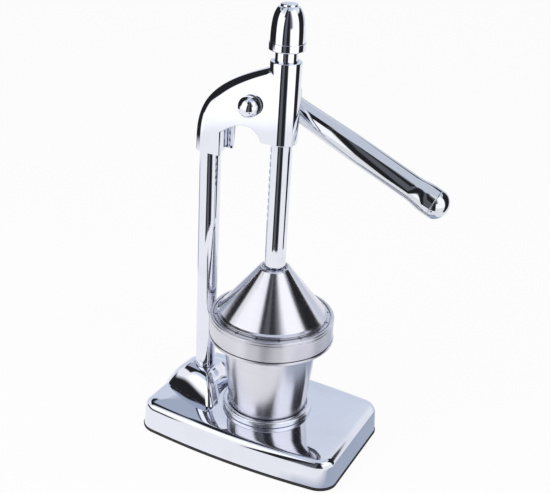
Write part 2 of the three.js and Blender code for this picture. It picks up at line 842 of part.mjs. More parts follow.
function makePinion() {
  const base = pitch_radius * Math.cos(pressure_angle);
  const tip = pitch_radius + gear_module * addendum_share;
  const root = pitch_radius - gear_module * dedendum_share;
  const half_pitch_angle = (tooth_pitch / 2 - gear_backlash / 2) / 2 / pitch_radius;
  const half_base_angle = half_pitch_angle + involute(base, pitch_radius);
  const flank = [[root, half_base_angle]];
  for (let i = 0; i <= flank_steps; i++) {
    const radius = base + (tip - base) * i / flank_steps;
    flank.push([radius, half_base_angle - involute(base, radius)]);
  }
  const outline = [];
  for (let tooth = 0; tooth < pinion_teeth; tooth++) {
    const middle = 2 * Math.PI * tooth / pinion_teeth;
    const rising = flank.map(([r, half]) => [r, middle - half]);
    const falling = flank.map(([r, half]) => [r, middle + half]).reverse();
    for (const [r, angle] of [...rising, ...falling]) {
      outline.push([r * Math.cos(angle), r * Math.sin(angle)]);
    }
  }
  const wheel = raised(outline, -pinion_width / 2, pinion_width / 2);
  const bore = disc(shaft_radius + seat_gap, -pinion_width, pinion_width);
  const pin_way = disc(pinion_pin_diameter / 2 + seat_gap, 0, root - gear_module, sides_small / 2);
  pin_way.rotateX(-Math.PI / 2);
  piece(lever, 'pinion', alongShaft(cut(wheel, bore, pin_way)), steel);

  const pin_inner = shaft_radius - pinion_pin_diameter;
  const pin = disc(pinion_pin_diameter / 2, pin_inner, root - gear_module - seat_gap, sides_small / 2);
  pin.rotateX(-Math.PI / 2);
  piece(lever, 'pinion_pin', alongShaft(pin), steel);
}

function makeShaft() {
  const square_end = lever_far_y - seat_gap;
  const barrel = disc(shaft_radius, -face_y, lever_near_y);
  const thread_end = -face_y - near_washer_thickness - dome_nut_height / 2;
  const thread = disc(shaft_thread_diameter / 2, thread_end, -face_y + overrun);
  const square_plan = polygon(4, shaft_square * Math.SQRT1_2, Math.PI / 4);
  const square = raised(square_plan, lever_near_y - overrun, square_end);
  const screw_bore = lever_screw_diameter / 2 + seat_gap;
  const screw_way = disc(screw_bore, square_end - lever_screw_length, square_end + overrun);
  const pin_way = disc(pinion_pin_diameter / 2 + seat_gap, shaft_radius - pinion_pin_diameter - seat_gap,
    shaft_radius + overrun, sides_small / 2);
  pin_way.rotateX(-Math.PI / 2);
  piece(lever, 'pinion_shaft', alongShaft(cut(join(barrel, thread, square), screw_way, pin_way)), steel);

  const washer_far = -face_y - seat_gap;
  const washer_near = washer_far - near_washer_thickness;
  const thread_hole = shaft_thread_diameter / 2 + seat_gap;
  const ring = washer(thread_hole, near_washer_diameter / 2, washer_near, washer_far);
  piece(lever, 'near_washer', alongShaft(ring), steel);
  makeDomeNut(washer_near - seat_gap);

  const thrust_near = face_y + seat_gap;
  const thrust = washer(shaft_radius + seat_gap, thrust_washer_diameter / 2, thrust_near,
    thrust_near + thrust_washer_thickness);
  piece(lever, 'thrust_washer', alongShaft(thrust), bronze);
}

// A round domed nut, threaded blind
function makeDomeNut(seat) {
  const radius = dome_nut_diameter / 2;
  const bore = shaft_thread_diameter / 2 + seat_gap;
  const dome = dome_nut_height - dome_nut_skirt;
  const profile = [[bore, seat], [radius, seat]];
  const steps = 2 * fillet_steps;
  for (let i = 0; i < steps; i++) {
    const angle = i / steps * Math.PI / 2;
    profile.push([radius * Math.cos(angle), seat - dome_nut_skirt - dome * Math.sin(angle)]);
  }
  profile.push([0, seat - dome_nut_height]);
  profile.push([0, seat - dome_nut_height / 2 - dome_nut_skirt / 2]);
  profile.push([bore, seat - dome_nut_height / 2 - dome_nut_skirt / 2]);
  piece(lever, 'dome_nut', alongShaft(turnedRing(profile, sides_rod)), chrome);
}

// Lever: hub and boss on the shaft's square, then a round arm that swells to its capped end
function lowered(geometry) {
  geometry.rotateY(Math.PI / 2);
  geometry.translate(0, lever_mid_y, 0);
  geometry.rotateY(lever_angle);
  geometry.translate(shaft_x, 0, shaft_height);
  return geometry;
}

function makeLever() {
  const seam = lever_length - lever_cap_length;
  const start = lever_hub_radius * lever_arm_start_share;
  const flare = seam - lever_flare_length;
  const swell = start + (flare - start) * lever_swell_share;
  const arm = lowered(turned([
    [0, start], [lever_root_radius, start], [lever_root_radius, lever_hub_radius],
    [lever_grip_radius, swell], [lever_grip_radius, flare],
    [lever_grip_radius + (lever_end_radius - lever_grip_radius) / 2, seam - lever_flare_length / 2],
    [lever_end_radius, seam - lever_flare_length / 4],
    [lever_end_radius, seam], [0, seam],
  ], sides_small));
  const edge = lever_hub_edge;
  const hub = alongShaft(turned([
    [0, lever_near_y], [lever_hub_radius - edge, lever_near_y],
    [lever_hub_radius - edge * (1 - Math.SQRT1_2), lever_near_y + edge * (1 - Math.SQRT1_2)],
    [lever_hub_radius, lever_near_y + edge], [lever_hub_radius, lever_far_y - edge],
    [lever_hub_radius - edge * (1 - Math.SQRT1_2), lever_far_y - edge * (1 - Math.SQRT1_2)],
    [lever_hub_radius - edge, lever_far_y], [0, lever_far_y],
  ], sides_rod));
  const boss = alongShaft(disc(lever_boss_radius, lever_near_y - lever_boss_length, lever_near_y + edge));
  const square_way = alongShaft(raised(
    polygon(4, (shaft_square + 2 * seat_gap) * Math.SQRT1_2, Math.PI / 4),
    lever_near_y + seat_gap, lever_far_y + overrun));
  const round_way = alongShaft(disc(shaft_radius + seat_gap, lever_near_y - lever_boss_length - overrun,
    lever_near_y + seat_gap));
  const bore = lowered(disc(lever_bore_radius, seam - lever_bore_depth, seam + overrun));
  piece(lever, 'lever_arm', cut(join(arm, hub, boss), square_way, round_way, bore), chrome);
  makeLeverCap(seam);
  makeLeverScrew();
}

function makeLeverCap(seam) {
  const face = seam + seat_gap;
  const dome = lever_length - face;
  const plug_radius = lever_bore_radius - seat_gap;
  const profile = [
    [0, seam - lever_plug_length], [plug_radius, seam - lever_plug_length], [plug_radius, face],
  ];
  const steps = 2 * fillet_steps;
  for (let i = 0; i < steps; i++) {
    const angle = i / steps * Math.PI / 2;
    profile.push([lever_end_radius * Math.cos(angle), face + dome * Math.sin(angle)]);
  }
  profile.push([0, lever_length]);
  piece(lever, 'lever_end_cap', lowered(turned(profile, sides_small)), chrome);
}

function makeLeverScrew() {
  const washer_near = lever_far_y + seat_gap;
  const washer_far = washer_near + lever_washer_thickness;
  const hole = lever_screw_diameter / 2 + seat_gap;
  const ring = washer(hole, lever_washer_diameter / 2, washer_near, washer_far);
  piece(lever, 'lever_washer', alongShaft(ring), steel);
  const head_near = washer_far + seat_gap;
  const head_far = head_near + lever_screw_head_height;
  const shank_end = lever_far_y - lever_screw_length + seat_gap;
  const screw = turned([
    [0, shank_end], [lever_screw_diameter / 2, shank_end], [lever_screw_diameter / 2, head_near],
    [lever_screw_head_diameter / 2, head_near],
    [lever_screw_head_diameter / 2, head_near + lever_screw_head_height / 2],
    [lever_screw_head_diameter / 2 * Math.SQRT1_2, head_far], [0, head_far],
  ], sides_small);
  piece(lever, 'lever_screw', alongShaft(screw), steel);
}

// Rack rod: a round bar with straight-sided tooth gaps milled into its post side
function makeRod() {
  const bar = uprightCylinder(0, rod_radius, rod_end, rod_top, rod_chamfer, sides_rod);
  const tip_x = -rod_radius - overrun;
  const root_x = rack_pitch_x + gear_module * dedendum_share;
  const slope = Math.tan(pressure_angle);
  const half_gap = (tooth_pitch / 2 + gear_backlash / 2) / 2;
  const half_tip = half_gap + (rack_pitch_x - tip_x) * slope;
  const half_root = half_gap - (root_x - rack_pitch_x) * slope;
  const gaps = [];
  for (let k = -rack_gaps_below; k <= rack_gaps_above; k++) {
    const z = shaft_height + k * tooth_pitch;
    const outline = [
      [tip_x, z - half_tip], [root_x, z - half_root], [root_x, z + half_root], [tip_x, z + half_tip],
    ];
    gaps.push(across(outline, -rod_diameter, rod_diameter));
  }
  const stud_way = disc(stud_diameter / 2 + seat_gap, rod_top - stud_grip, rod_top + overrun);
  const screw_way = disc(bell_screw_diameter / 2 + seat_gap, rod_end - overrun, rod_end + bell_screw_grip);
  piece(rod, 'rack_rod', cut(bar, ...gaps, stud_way, screw_way), chrome);
}

function makeKnob() {
  const top = knob_bottom + knob_height;
  const step = knob_bottom + knob_skirt_height;
  const cap_bottom = top - knob_cap_height;
  const socket = knob_bottom + knob_socket_depth;
  const stud_top = socket + stud_grip;
  const profile = [
    [rod_radius + seat_gap, knob_bottom], [knob_skirt_radius - knob_edge, knob_bottom],
    [knob_skirt_radius, knob_bottom + knob_edge], [knob_skirt_radius, step], [knob_body_radius, step],
  ];
  const rise = cap_bottom - step;
  const steps = 2 * fillet_steps;
  for (let i = 1; i <= steps; i++) {
    const share = i / steps;
    const drawn_in = (knob_body_radius - knob_crown_radius) * (share ** 2 + share ** 6) / 2;
    profile.push([knob_body_radius - drawn_in, step + rise * share]);
  }
  profile.push([knob_cap_radius, cap_bottom + knob_cap_height / 4]);
  profile.push([knob_cap_radius, cap_bottom + knob_cap_height / 2]);
  profile.push([knob_cap_radius * Math.SQRT1_2, top - knob_cap_height / 6]);
  profile.push([0, top]);
  profile.push([0, stud_top + seat_gap]);
  profile.push([stud_diameter / 2 + seat_gap, stud_top + seat_gap]);
  profile.push([stud_diameter / 2 + seat_gap, socket]);
  profile.push([rod_radius + seat_gap, socket]);
  piece(rod, 'knob', turnedRing(profile, sides_rod), chrome);
  const stud_bottom = rod_top - stud_grip + seat_gap;
  piece(rod, 'knob_stud', disc(stud_diameter / 2, stud_bottom, stud_top), steel);
}

// Press bell
function makeBell() {
  const bore = bell_screw_diameter / 2 + seat_gap;
  const floor = bell_dish_floor;
  const lip_top = bell_rim_height + bell_lip_height;
  const cone_bottom = bell_rim_height + bell_lip_flare;
  const shoulder = floor + bell_shoulder_lift;
  const slope = (bell_cone_radius - bell_shoulder_radius) / (shoulder - cone_bottom);
  const offset = bell_wall * Math.sqrt(1 + slope * slope);
  const crest = shoulder + bell_shoulder_rise;
  const roll = (bell_shoulder_radius - bell_dish_radius) / 3;
  const ceiling = floor - bell_wall;
  const inner_top = bell_shoulder_radius + (shoulder - ceiling) * slope - offset;
  const profile = [
    [bore, ceiling], [inner_top, ceiling], [bell_cone_radius - offset, cone_bottom],
    [bell_rim_radius - bell_wall, lip_top - bell_wall], [bell_rim_radius - bell_wall, bell_rim_height],
    [bell_rim_radius, bell_rim_height], [bell_rim_radius, lip_top],
    [bell_rim_radius - bell_wall / 2, lip_top + bell_wall / 4],
    [bell_cone_radius, cone_bottom], [bell_shoulder_radius, shoulder],
    [bell_shoulder_radius - roll, crest], [bell_dish_radius + roll / 2, crest],
    [bell_dish_radius, crest - roll], [bell_dish_radius, floor], [bore, floor],
  ];
  piece(bell, 'press_bell', turnedRing(profile), satin);
  const spacer = washer(bore, bell_spacer_radius, floor + seat_gap, rod_end - seat_gap);
  piece(rod, 'bell_spacer', spacer, chrome);

  const washer_top = ceiling - seat_gap;
  const washer_bottom = washer_top - bell_washer_thickness;
  piece(rod, 'bell_washer', washer(bore, bell_washer_diameter / 2, washer_bottom, washer_top), steel);
  const head_top = washer_bottom - seat_gap;
  const head_bottom = head_top - bell_screw_head_height;
  const shank_top = rod_end + bell_screw_grip - seat_gap;
  const screw = turned([
    [0, head_bottom], [bell_screw_head_diameter / 2 * Math.SQRT1_2, head_bottom],
    [bell_screw_head_diameter / 2, head_bottom + bell_screw_head_height / 2],
    [bell_screw_head_diameter / 2, head_top], [bell_screw_diameter / 2, head_top],
    [bell_screw_diameter / 2, shank_top], [0, shank_top],
  ], sides_small);
  piece(rod, 'bell_screw', screw, steel);
}

// Strainer: both skins of the reamer follow the same flutes
function fluted(geometry) {
  const points = geometry.getAttribute('position');
  const base = strainer_floor_height;
  const crown = reamer_height;
  for (let i = 0; i < points.count; i++) {
    const [x, y, z] = [points.getX(i), points.getY(i), points.getZ(i)];
    const radius = Math.hypot(x, y);
    const climb = THREE.MathUtils.clamp((z - base) / (crown - base), 0, 1);
    if (radius > reamer_base_radius || climb === 0) continue;
    const fade = Math.sin(Math.PI * Math.sqrt(climb));
    const wave = reamer_flute_depth * fade * Math.cos(reamer_flutes * Math.atan2(y, x));
    const scale = (radius + wave) / Math.max(radius, reamer_flute_depth);
    if (radius > reamer_flute_depth) points.setXY(i, x * scale, y * scale);
  }
  return geometry;
}

function makeStrainer() {
  const wall = strainer_wall;
  const top = strainer_flange_height;
  const floor = strainer_floor_height;
  const steps = 4;
  const upper = [
    [strainer_flange_radius - wall / 2, top - wall], [strainer_flange_radius, top - wall / 2],
    [strainer_flange_radius - wall / 2, top], [strainer_mouth_radius, top],
    [strainer_mouth_radius - wall, top - wall],
    [strainer_floor_radius, floor + wall], [strainer_floor_radius - wall, floor],
  ];
  const cone = [];
  for (let i = 0; i <= steps; i++) {
    const share = i / steps;
    cone.push([
      THREE.MathUtils.lerp(reamer_base_radius, reamer_top_radius, share),
      THREE.MathUtils.lerp(floor, reamer_height, share),
    ]);
  }
  const tip = [reamer_top_radius / 2, reamer_height + reamer_tip_rise * (1 - 1 / 4)];
  const peak = [0, reamer_height + reamer_tip_rise];
  const under_cone = cone.map(([r, z]) => [r - wall, z - wall]).reverse();
  const lower = [
    [strainer_floor_radius, floor - wall], [strainer_floor_radius + wall, floor],
    [strainer_mouth_radius, top - 2 * wall], [strainer_mouth_radius + wall, top - wall],
  ];
  const profile = [
    ...upper, ...cone, tip, peak,
    [0, peak[1] - wall], [tip[0] - wall / 2, tip[1] - wall], ...under_cone, ...lower,
  ];
  const dish = fluted(turnedRing(profile));
  piece(frame, 'strainer', cut(dish, ...strainerHoles()), satin);
}

function strainerHoles() {
  const radius = strainer_hole_diameter / 2;
  const deep = strainer_wall + overrun;
  const drills = [];
  const drill = (place, height, angle, tilt) => {
    const bit = disc(radius, -deep, deep, sides_hole);
    bit.rotateY(tilt);
    bit.translate(place, 0, height);
    bit.rotateZ(angle);
    drills.push(bit);
  };
  for (let i = 0; i < rim_holes; i++) {
    drill(rim_hole_circle, strainer_flange_height, (i + 1 / 2) * 2 * Math.PI / rim_holes, 0);
  }
  const floor_circle = (strainer_floor_radius + reamer_base_radius) / 2;
  for (let i = 0; i < floor_holes; i++) {
    drill(floor_circle, strainer_floor_height, i * 2 * Math.PI / floor_holes, 0);
  }
  const rise = reamer_height - strainer_floor_height;
  const run = reamer_base_radius - reamer_top_radius;
  const tilt = Math.atan2(rise, run);
  for (let row = 0; row < reamer_hole_rows; row++) {
    const share = reamer_hole_first_share + row * reamer_hole_step_share;
    for (let i = 0; i < reamer_hole_count; i++) {
      const angle = (i + 1 / 2) * 2 * Math.PI / reamer_hole_count;
      drill(reamer_base_radius - run * share, strainer_floor_height + rise * share, angle, tilt);
    }
  }
  return drills;
}

// Funnel: a band folded over the collar's flange, and a cone and spout that lie in the collar
function makeFunnelBand() {
  const wall = funnel_wall;
  const outer = funnel_band_radius;
  const inner = outer - funnel_bead_width;
  const depth = funnel_groove_depth;
  const bottom = funnel_seat - funnel_skirt_drop;
  const groove = funnel_seat + funnel_groove_rise;
  const crest = groove + funnel_bead_height;
  const fold = funnel_ledge + seat_gap;
  piece(frame, 'funnel_band', turnedRing([
    [funnel_lip_radius - wall, bottom], [funnel_lip_radius, bottom],
    [funnel_lip_radius, bottom + funnel_lip_height], [outer, bottom + 1.5 * funnel_lip_height],
    [outer, groove - depth / 2], [outer - depth, groove], [outer, groove + depth],
    [outer, crest - funnel_bead_width / 3], [outer - funnel_bead_width / 3, crest],
    [inner + funnel_bead_width / 3, crest], [inner, crest - depth],
    [inner, fold], [outer - depth - wall, fold],
    [outer - depth - wall, groove], [outer - wall, groove - depth - wall],
    [outer - wall, bottom + 2 * funnel_lip_height],
  ]), satin);
}

function makeFunnelCollar() {
  const wall = funnel_wall;
  const flange = funnel_band_radius - funnel_groove_depth - wall - seat_gap;
  piece(frame, 'funnel_collar', turnedRing([
    [flange, funnel_ledge - wall], [flange, funnel_ledge], [funnel_ledge_radius, funnel_ledge],
    [funnel_seat_outer, funnel_seat + wall], [funnel_seat_inner, funnel_seat + wall],
    [funnel_seat_inner, funnel_seat], [funnel_seat_outer + wall, funnel_seat],
    [funnel_ledge_radius + wall, funnel_ledge - wall],
  ]), satin);
}

function makeFunnelCone() {
  const wall = funnel_wall;
  const rim_bottom = funnel_seat + wall + seat_gap;
  const rim_top = rim_bottom + wall;
  const rim = funnel_seat_outer - seat_gap;
  const shoulder = funnel_seat_inner - seat_gap - wall;
  const hole = funnel_spout_radius + wall + seat_gap;
  const bottom = funnel_seat - funnel_cone_drop;
  piece(frame, 'funnel_cone', turnedRing([
    [rim, rim_bottom], [rim, rim_top], [shoulder, rim_top], [hole, bottom], [hole, bottom - wall],
    [shoulder, rim_bottom],
  ]), satin);

  const slope = (rim_top - bottom) / (shoulder - hole);
  const lift = seat_gap * Math.sqrt(1 + slope * slope);
  const bore = funnel_spout_radius;
  const flare = hole + funnel_spout_flare;
  const flare_bottom = bottom + lift + slope * funnel_spout_flare;
  const spout_end = bottom - funnel_spout_length;
  piece(frame, 'funnel_spout', turnedRing([
    [bore, spout_end], [bore + wall, spout_end], [bore + wall, bottom + lift - slope * seat_gap],
    [flare, flare_bottom], [flare, flare_bottom + wall], [bore, bottom + lift + wall],
  ], sides_rod), satin);
}

// Cup and its ring
function makeCup() {
  const wall = cup_wall;
  const bottom = base_height + seat_gap;
  const corner = cup_corner_radius;
  const profile = [[0, bottom]];
  for (let i = 0; i <= fillet_steps; i++) {
    const angle = i / fillet_steps * Math.PI / 2;
    const [across_corner, up_corner] = [1 - Math.sin(angle), 1 - Math.cos(angle)];
    profile.push([cup_bottom_radius - corner * across_corner, bottom + corner * up_corner]);
  }
  profile.push([cup_top_radius, cup_top - 2 * cup_rim_bead]);
  profile.push([cup_top_radius + cup_rim_bead, cup_top - cup_rim_bead]);
  profile.push([cup_top_radius, cup_top]);
  profile.push([cup_top_radius - wall, cup_top]);
  profile.push([cup_bottom_radius - wall, bottom + corner]);
  profile.push([cup_bottom_radius - corner, bottom + wall]);
  profile.push([0, bottom + wall]);
  piece(frame, 'cup', turnedRing(profile), satin);

  const inner = cup_bottom_radius + ring_inner_clearance;
  const crest = bottom + ring_height;
  const edge = ring_edge_radius;
  piece(frame, 'cup_seat_ring', turnedRing([
    [inner, bottom], [ring_outer_radius, bottom], [ring_outer_radius, crest - edge],
    [ring_outer_radius - edge * (1 - Math.SQRT1_2), crest - edge * (1 - Math.SQRT1_2)],
    [ring_outer_radius - edge, crest], [inner + edge / 2, crest], [inner, crest - edge / 2],
  ]), chrome);
}

makeBase();
makeDome();
makePost();
makeHead();
makeBushes();
makePinion();
makeShaft();
makeLever();
makeRod();
makeKnob();
makeBell();
makeStrainer();
makeFunnelBand();
makeFunnelCollar();
makeFunnelCone();
makeCup();

export default press;
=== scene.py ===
"""Looks of a lever citrus press: bright chrome stand, rack and pinion head, spun steel bell,
strainer, funnel ring and cup. Sizes are in millimetres until a mesh is made, then in metres."""

import math

import bmesh
import bpy
from mathutils import Matrix, Vector


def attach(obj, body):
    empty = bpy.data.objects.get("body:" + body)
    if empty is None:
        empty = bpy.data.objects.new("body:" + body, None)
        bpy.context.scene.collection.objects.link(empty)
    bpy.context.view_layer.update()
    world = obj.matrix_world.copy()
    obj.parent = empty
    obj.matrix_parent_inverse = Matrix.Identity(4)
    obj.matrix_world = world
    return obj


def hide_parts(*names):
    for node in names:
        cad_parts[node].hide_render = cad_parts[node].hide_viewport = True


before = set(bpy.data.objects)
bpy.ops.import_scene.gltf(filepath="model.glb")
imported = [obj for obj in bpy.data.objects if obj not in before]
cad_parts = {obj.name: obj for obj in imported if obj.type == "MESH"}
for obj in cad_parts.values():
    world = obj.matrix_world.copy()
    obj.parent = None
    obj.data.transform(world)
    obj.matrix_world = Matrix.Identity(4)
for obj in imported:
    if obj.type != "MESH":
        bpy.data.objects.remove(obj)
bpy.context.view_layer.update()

MM = 0.001
# The gap between pieces that sit on each other, and how far a cutting tool reaches past the work
SEAT_GAP = 0.3
OVERRUN = 2
SHAFT = Vector((-23, 0, 303.4))
LEVER_ANGLE = math.radians(24)
LEVER_MID_Y = 31.6
POST_X = -65
# The most of a straight stretch that the arc at one of its ends may take
ARC_SHARE = 0.49
# A turned point nearer to the axis than this is a pole
POLE_RADIUS = 0.0001
# Points nearer to each other than this, in metres, are one
WELD = 0.0000001


# Profiles: points of (radius, height) or (radius, height, corner radius)
def with_corners(profile, steps):
    """A closed profile's points, with an arc in place of each corner that has a radius."""
    points = []
    for i, entry in enumerate(profile):
        here = Vector(entry[:2])
        size = entry[2] if len(entry) > 2 else 0
        if not size:
            points.append(here)
            continue
        before = Vector(profile[i - 1][:2]) - here
        after = Vector(profile[(i + 1) % len(profile)][:2]) - here
        half = before.angle(after) / 2
        back = min(size / math.tan(half), ARC_SHARE * before.length, ARC_SHARE * after.length)
        size = back * math.tan(half)
        start = here + before.normalized() * back
        end = here + after.normalized() * back
        inwards = (before.normalized() + after.normalized()).normalized()
        middle = here + inwards * (size / math.sin(half))
        sweep = (start - middle).angle_signed(end - middle)
        for k in range(steps + 1):
            spoke = (start - middle).copy()
            spoke.rotate(Matrix.Rotation(-sweep * k / steps, 2))
            points.append(middle + spoke)
    return points


def profiled(section, rounds):
    """A profile from its plain points and the radius that rounds each of them."""
    return [(*point, size) for point, size in zip(section, rounds)]


# Bodies
def skinned(rings, closed):
    """Rings of points, a lone point being a pole, skinned into one body."""
    body = bmesh.new()
    made = [[body.verts.new(Vector(point) * MM) for point in ring] for ring in rings]
    following = made[1:] + made[:1] if closed else made[1:]
    for low, high in zip(made, following):
        count = max(len(low), len(high))
        for i in range(count):
            j = (i + 1) % count
            corners = [low[i % len(low)], low[j % len(low)], high[j % len(high)], high[i % len(high)]]
            corners = list(dict.fromkeys(corners))
            if len(corners) > 2:
                body.faces.new(corners)
    return body


def facing_out(body):
    bmesh.ops.remove_doubles(body, verts=body.verts, dist=WELD)
    bmesh.ops.recalc_face_normals(body, faces=body.faces)
    if body.calc_volume(signed=True) < 0:
        bmesh.ops.reverse_faces(body, faces=body.faces)
    return body


def turned(profile, sides=144, steps=6):
    """Turned or spun work about the Z axis, from a profile that closes on itself."""
    turns = [2 * math.pi * i / sides for i in range(sides)]
    rings = []
    for radius, height in with_corners(profile, steps):
        if radius < POLE_RADIUS:
            rings.append([(0, 0, height)])
        else:
            rings.append([(radius * math.cos(turn), radius * math.sin(turn), height) for turn in turns])
    return facing_out(skinned(rings, closed=True))


def disc(radius, bottom, top, sides=96, edge=0.0):
    return turned([(0, bottom), (radius, bottom, edge), (radius, top, edge), (0, top)], sides, 4)


def moved(body, x=0, y=0, z=0):
    bmesh.ops.translate(body, verts=body.verts, vec=Vector((x, y, z)) * MM)
    return body


def spun(body, angle, axis):
    bmesh.ops.rotate(body, verts=body.verts, cent=(0, 0, 0), matrix=Matrix.Rotation(angle, 3, axis))
    return body


def along_shaft(body):
    """Lays work turned about Z along the lever's shaft, its top towards +Y."""
    return moved(spun(body, -math.pi / 2, "X"), *SHAFT)


def lowered(body):
    """Lays work turned about Z along the resting lever's arm."""
    spun(body, math.pi / 2, "Y")
    moved(body, y=LEVER_MID_Y)
    spun(body, LEVER_ANGLE, "Y")
    return moved(body, *SHAFT)


def capped(rings):
    """Rings of equally many points, skinned and closed by a flat end at each side."""
    body = skinned(rings, closed=False)
    body.verts.ensure_lookup_table()
    count = len(rings[0])
    first = [body.verts[i] for i in range(count)]
    last = [body.verts[i] for i in range(len(body.verts) - count, len(body.verts))]
    ends = [body.faces.new(first), body.faces.new(last)]
    bmesh.ops.triangulate(body, faces=ends)
    return facing_out(body)


def extruded(outline, near, far, along="Y"):
    """A flat outline given depth: [x, z] points along Y, or [x, y] points along Z."""
    if along == "Y":
        return capped([[(x, depth, z) for x, z in outline] for depth in (near, far)])
    return capped([[(x, y, depth) for x, y in outline] for depth in (near, far)])


# Objects
def as_object(name, body):
    mesh = bpy.data.meshes.new(name)
    body.to_mesh(mesh)
    body.free()
    obj = bpy.data.objects.new(name, mesh)
    bpy.context.scene.collection.objects.link(obj)
    return obj


def twin(obj):
    copy = bpy.data.objects.new(obj.name, obj.data.copy())
    bpy.context.scene.collection.objects.link(copy)
    return copy


def applied(obj):
    """The object with its modifiers worked into its mesh."""
    bpy.context.view_layer.update()
    graph = bpy.context.evaluated_depsgraph_get()
    mesh = bpy.data.meshes.new_from_object(obj.evaluated_get(graph))
    obj.modifiers.clear()
    old = obj.data
    obj.data = mesh
    bpy.data.meshes.remove(old)
    return obj


def combined(name, first, *steps):
    """Joins or cuts closed bodies: steps are (operation, body or object)."""
    result = as_object(name, first) if isinstance(first, bmesh.types.BMesh) else first
    for operation, tool in steps:
        if isinstance(tool, bmesh.types.BMesh):
            tool = as_object("tool", tool)
        change = result.modifiers.new("change", "BOOLEAN")
        change.operation = operation
        change.solver = "MANIFOLD"
        change.object = tool
        applied(result)
        bpy.data.objects.remove(tool)
    return result


def finished(name, source, material, body, *nodes, slot, sharp=32):
    """Shades a piece smoothly between its real edges and hands it to its body."""
    obj = as_object(name, source) if isinstance(source, bmesh.types.BMesh) else source
    obj.name = name
    obj.data.name = name
    for polygon in obj.data.polygons:
        polygon.use_smooth = True
    obj.data.set_sharp_from_angle(angle=math.radians(sharp))
    weights = obj.modifiers.new("even_normals", "WEIGHTED_NORMAL")
    weights.keep_sharp = True
    applied(obj)
    obj.data.materials.clear()
    obj.data.materials.append(material)
    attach(obj, body)
    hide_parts(*nodes)


# Node trees
def node(tree, kind, links=(), **settings):
    """A node with its settings, its plain socket values and its links: {socket: value or output}."""
    made = tree.nodes.new(kind)
    for key, value in settings.items():
        setattr(made, key, value)
    for key, value in dict(links).items():
        socket = made.inputs[key]
        if isinstance(value, bpy.types.NodeSocket):
            tree.links.new(value, socket)
        else:
            socket.default_value = value
    return made


def maths(tree, operation, a, b=0.0):
    return node(tree, "ShaderNodeMath", {0: a, 1: b}, operation=operation).outputs[0]


def object_place(tree):
    return tree.nodes.new("ShaderNodeTexCoord").outputs["Object"]


def noise(tree, place, scale, **values):
    made = node(tree, "ShaderNodeTexNoise", {"Vector": place, "Scale": scale, **values})
    return made.outputs["Fac"]


def ramped(tree, value, low, high, shape="LINEAR"):
    """0 up to the low value, 1 from the high value on."""
    links = {"Value": value, "From Min": low, "From Max": high}
    return node(tree, "ShaderNodeMapRange", links, interpolation_type=shape).outputs["Result"]


# Shader groups shared by the finishes
def shader_group(name, output, **inputs):
    """A group of one output and number inputs, with its given values and the socket of its result."""
    tree = bpy.data.node_groups.new(name, "ShaderNodeTree")
    for label, value in inputs.items():
        socket = tree.interface.new_socket(name=label, in_out="INPUT", socket_type="NodeSocketFloat")
        socket.default_value = value
    tree.interface.new_socket(name=output, in_out="OUTPUT", socket_type="NodeSocketFloat")
    given = tree.nodes.new("NodeGroupInput").outputs
    result = tree.nodes.new("NodeGroupOutput").inputs[output]
    return tree, given, result


def make_smudges():
    """Cloudy handling marks: a value about 0 on clean metal and up to 1 where it was touched."""
    tree, given, result = shader_group("handling_smudges", "Mask", Scale=30.0, Cover=0.5)
    clouds = noise(tree, object_place(tree), given["Scale"], Detail=4.0, Roughness=0.55, Distortion=0.6)
    clean = maths(tree, "SUBTRACT", 1.0, given["Cover"])
    tree.links.new(ramped(tree, clouds, clean, 0.95), result)
    return tree


def make_hairlines():
    """Fine crossing scratches from wiping: thin stretched noise in two directions."""
    tree, given, result = shader_group("wiping_hairlines", "Height", Density=900.0, Stretch=0.02)
    lines = []
    for wiping in ((0.5, 0.2, 0.7), (-0.4, 0.9, -0.3)):
        across = node(tree, "ShaderNodeMapping", {"Vector": object_place(tree), "Rotation": wiping})
        squeeze = node(tree, "ShaderNodeCombineXYZ", {"X": 1.0, "Y": given["Stretch"], "Z": 1.0})
        factors = {0: across.outputs[0], 1: squeeze.outputs[0]}
        thin = node(tree, "ShaderNodeVectorMath", factors, operation="MULTIPLY")
        streaks = noise(tree, thin.outputs[0], given["Density"], Detail=1.0)
        lines.append(ramped(tree, streaks, 0.66, 0.8))
    tree.links.new(maths(tree, "MAXIMUM", *lines), result)
    return tree


def make_spin_marks():
    """Rings left by spinning and polishing about the Z axis, as a value about one half."""
    tree, given, result = shader_group("spin_marks", "Height", Fineness=2600.0, Drift=9.0)
    x, y, z = node(tree, "ShaderNodeSeparateXYZ", {"Vector": object_place(tree)}).outputs
    squares = maths(tree, "ADD", maths(tree, "MULTIPLY", x, x), maths(tree, "MULTIPLY", y, y))
    slant = maths(tree, "ADD", x, maths(tree, "MULTIPLY", y, 1.7))
    rings = node(tree, "ShaderNodeCombineXYZ", {
        "X": maths(tree, "MULTIPLY", maths(tree, "SQRT", squares), given["Fineness"]),
        "Y": maths(tree, "MULTIPLY", z, given["Fineness"]),
        "Z": maths(tree, "MULTIPLY", slant, given["Drift"]),
    })
    tree.links.new(noise(tree, rings.outputs[0], 1.0, Detail=3.0, Roughness=0.7), result)
    return tree


def make_grain():
    """Fine grain, such as moulded rubber's or sintered bronze's."""
    tree, given, result = shader_group("fine_grain", "Height", Scale=1500.0)
    tree.links.new(noise(tree, object_place(tree), given["Scale"], Detail=2.0), result)
    return tree


SMUDGES = make_smudges()
HAIRLINES = make_hairlines()
SPIN_MARKS = make_spin_marks()
GRAIN = make_grain()


def placed_group(tree, group, **values):
    made = tree.nodes.new("ShaderNodeGroup")
    made.node_tree = group
    for label, value in values.items():
        made.inputs[label].default_value = value
    return made.outputs[0]


